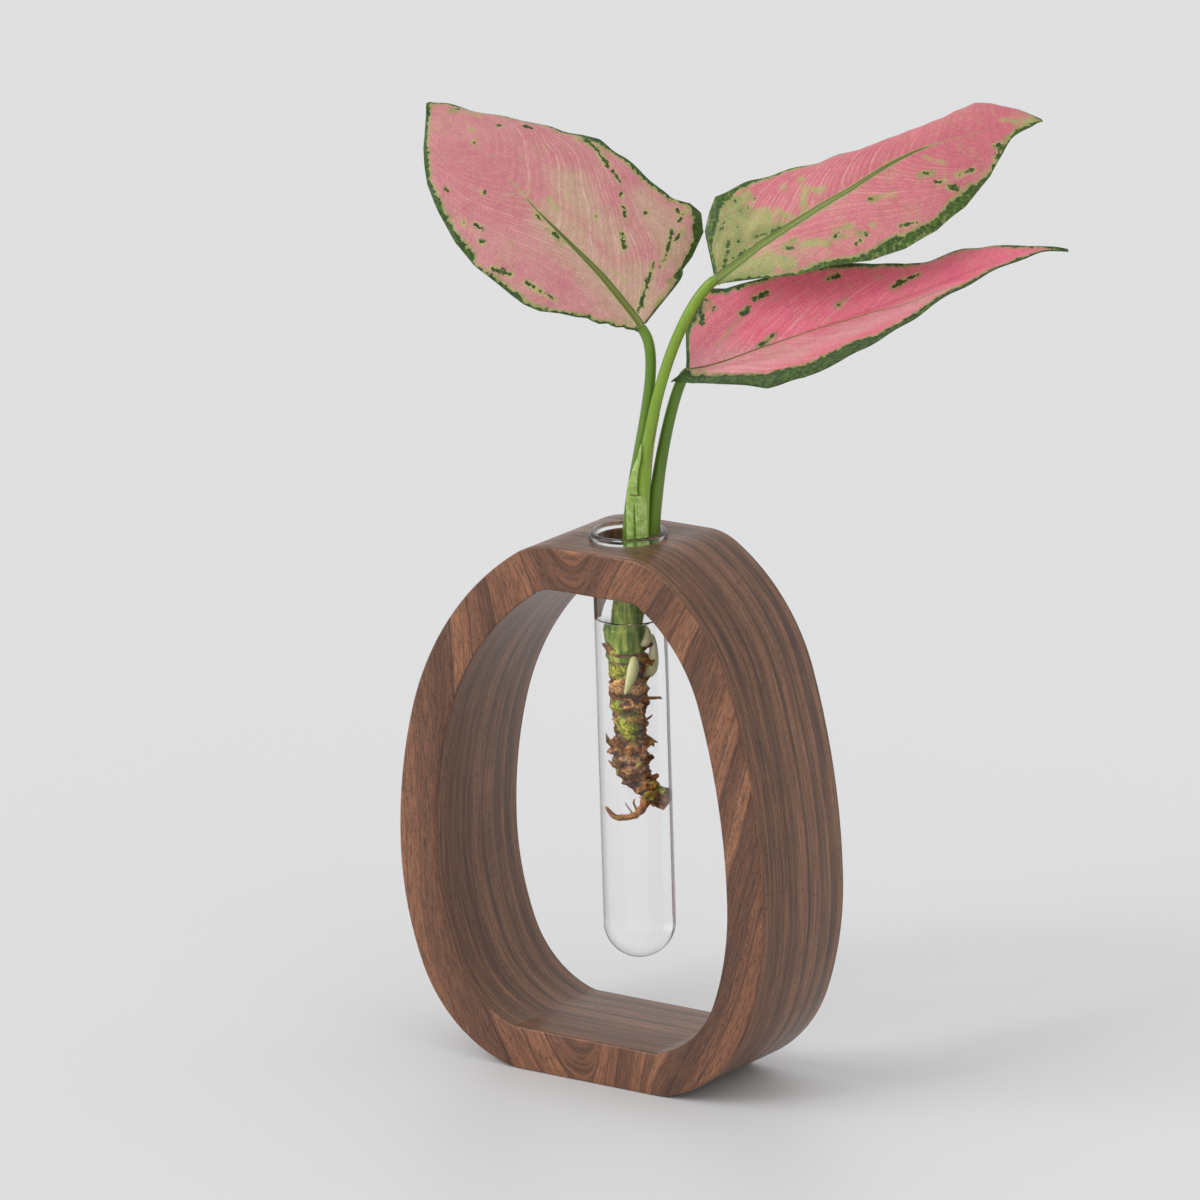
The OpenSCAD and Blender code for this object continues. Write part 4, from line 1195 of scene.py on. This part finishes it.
def leaf_finish(name, skin, holes, side_veins, vein_light, **inks):
    """Leaf material that reads what make_blade wrote on the mesh."""
    mat, tree, shader, place = material(name)
    marks = {mark: field(tree, "Attribute", {"attribute_name": mark.lower()}, out="Fac") for mark in MARKS}
    inks = {ink.title() + " colour": srgb(*colour) for ink, colour in inks.items()}
    node = new_node(tree, "Group", {"node_tree": skin}, Vector=place, Side_veins=side_veins, Vein_light=vein_light,
                    Holes=holes, **marks, **inks)
    colour, height, sheen = (Field(socket) for socket in node.outputs)
    wire(shader, Base_Color=colour, Roughness=sheen, Normal=relief(height, 0.25, 0.00015))
    return mat


# ---------------------------------------------------------------- the pieces

ring = make_ring()
tube = make_tube()
water = make_water()
stem = make_stem()
rootstock = make_rootstock()
root_long, root_short, stubs = make_roots()
bud_up, bud_low = make_buds()
stalks = {key: make_stalk("leafstalk_" + key, leaf) for key, leaf in LEAVES.items()}
sheath, dry_slip = make_sheath()

grain = make_grain_group()
skin = make_leaf_group()
walnut_face = walnut(
    "walnut face", grain, across_face, 190, (1500, 1500, 130), (2600, 2600, 620), (75, 50, 7), (5.3, 0, 0),
    ((0.3, 92, 59, 42), (0.43, 112, 73, 51), (0.54, 127, 82, 58), (0.7, 143, 96, 67)), srgb(56, 35, 26), 0.8, 0.85,
)
walnut_side = walnut(
    "walnut side", grain, across_side, 700, (60, 2300, 60), (640, 2600, 640), (26, 520, 26), ORIGIN,
    ((0.28, 82, 54, 38), (0.44, 105, 71, 50), (0.56, 116, 79, 56), (0.72, 132, 92, 66)), srgb(52, 34, 25), 0.6, 1.0,
)
SCARS = ((0.25, 58, 40, 22), (0.42, 104, 68, 38), (0.56, 150, 106, 66), (0.7, 186, 142, 98))
LIVE = ((0.3, 92, 104, 8), (0.5, 142, 148, 26), (0.7, 190, 186, 74))
stem_green = bark_finish(
    "stem green", SCARS, ((0.36, 84, 120, 12), (0.5, 122, 152, 28), (0.64, 184, 194, 84)), LIVE, 0.42, 0.25,
    spot=(620, 620, 110),
)
bark = bark_finish(
    "root bark", ((0.3, 30, 16, 7), (0.42, 78, 44, 18), (0.5, 134, 82, 36), (0.6, 196, 138, 76), (0.74, 240, 202, 150)),
    LIVE, ((0.35, 160, 108, 58), (0.55, 208, 158, 92), (0.7, 240, 204, 144)), 0.6,
)
dry_scale = bark_finish(
    "dry scale", ((0.3, 60, 32, 12), (0.45, 130, 74, 28), (0.56, 190, 122, 56), (0.72, 236, 192, 132)), LIVE, SCARS, 0.5
)
root_skin = bark_finish("root skin", ((0.3, 112, 60, 20), (0.5, 176, 104, 40), (0.7, 216, 156, 90)), LIVE, SCARS, 0.5)
sheath_pale = bark_finish(
    "sheath pale", ((0.3, 128, 162, 66), (0.5, 158, 186, 98), (0.7, 198, 212, 146)),
    ((0.35, 92, 126, 38), (0.65, 118, 150, 56)), ((0.35, 96, 84, 40), (0.65, 136, 122, 70)), 0.5, 0.35, 0.5,
)
slip_brown = plant_finish("slip brown", ((0.3, 122, 140, 66), (0.5, 144, 150, 82), (0.7, 168, 156, 112)), 0.25, 90, 0.5)
bud_pale = plant_finish("bud pale", ((0.3, 216, 218, 130), (0.5, 240, 238, 178), (0.7, 252, 250, 220)), 0.1, 160, 0.4)

CUT = "cutting"
dress(ring, "frame", "walnut", [walnut_face, walnut_side], "ring_frame")
for poly in ring.data.polygons:
    poly.material_index = 0 if abs(poly.normal.y) > 0.7 else 1
# The rim's glass starts its painted dark edges at a smaller share of Facing than the tube's.
dress(tube, "tube", "clear_glass", [glass("clear glass", 1.5, 0.66), glass("rim glass", 1.62, 0.4)], "test_tube")
for poly in tube.data.polygons:
    poly.material_index = 1 if poly.center.z > RING_H - 0.2 * MM else 0
dress(water, "tube", "water", [water_finish()], "water")
dress(stem, CUT, "green_stem", [stem_green], "stem")
dress(rootstock, CUT, "rootstock_bark", [bark], "rootstock")
dress(root_long, CUT, "rootstock_bark", [root_skin], "root_long")
dress(root_short, CUT, "rootstock_bark", [root_skin], "root_short")
dress(stubs, CUT, "rootstock_bark", [dry_scale], "root_stubs")
dress(bud_up, CUT, "pale_bud", [bud_pale], "bud_upper")
dress(bud_low, CUT, "pale_bud", [bud_pale], "bud_lower")
sheath.data.materials.append(sheath_pale)
dry_slip.data.materials.append(slip_brown)
dress(join("old_sheath", sheath, dry_slip), CUT, "pale_sheath", [], "sheath")
for key, leaf in LEAVES.items():
    face = leaf_finish("leaf face " + key, skin, leaf["holes"], **leaf["face"])
    below = leaf_finish("leaf underside " + key, skin, leaf["holes"], **leaf["below"])
    dress(make_blade("leaf_" + key, leaf, [face, below]), CUT, "pink_leaf", [], "blade_" + key)
    green = plant_finish("stalk green " + key, leaf["stalk_green"], 0.14, 40, 0.36)
    dress(stalks[key], CUT, "green_stem", [green], "stalk_" + key)

# ---------------------------------------------------------------- floor, light and camera

bpy.ops.mesh.primitive_plane_add(size=12, location=(0, 0, 0))
floor = bpy.context.object
floor.name = "floor"
pale, _, shader, _ = material("pale floor")
wire(shader, Base_Color=srgb(222, 222, 223), Roughness=0.5)
floor.data.materials.append(pale)

studio = bpy.data.worlds.new("studio")
bpy.context.scene.world = studio
studio.use_nodes = True
wire(studio.node_tree.nodes["Background"], (1, 1, 1, 1), 0.76)

# Far lamps with soft shadows: the way each shines, its spread in degrees and its power
for name, way, spread, power in (
    ("key", (0.56, 0.74, -0.66), 48, 1.06),
    ("fill", (-0.8, 0.35, -0.4), 60, 0.22),
    ("glint", (0.3, 0.7, -0.65), 7, 0.16),
):
    lamp = bpy.data.lights.new(name, "SUN")
    lamp.angle = math.radians(spread)
    lamp.energy = power
    put(name, lamp).rotation_euler = Vector(way).to_track_quat("-Z", "Y").to_euler()

CAMERA_AT = (2.11504755, -2.86117826, 1.17526742)
AZ, EL, ROLL = math.radians(36.54046), math.radians(15.82675), math.radians(-1.79907)
camera = bpy.data.cameras.new("camera")
camera.lens = 325.0175
camera.sensor_width = 36
camera.clip_end = 50
view = put("camera", camera)
bpy.context.scene.camera = view
back = Vector((math.sin(AZ) * math.cos(EL), -math.cos(AZ) * math.cos(EL), math.sin(EL)))
right = Vector((math.cos(AZ), math.sin(AZ), 0))
up = back.cross(right)
turned_right = math.cos(ROLL) * right + math.sin(ROLL) * up
turned_up = math.cos(ROLL) * up - math.sin(ROLL) * right
axes = Matrix((turned_right, turned_up, back)).transposed()
view.matrix_world = Matrix.Translation(CAMERA_AT) @ axes.to_4x4()

bpy.context.scene.view_settings.view_transform = "Standard"
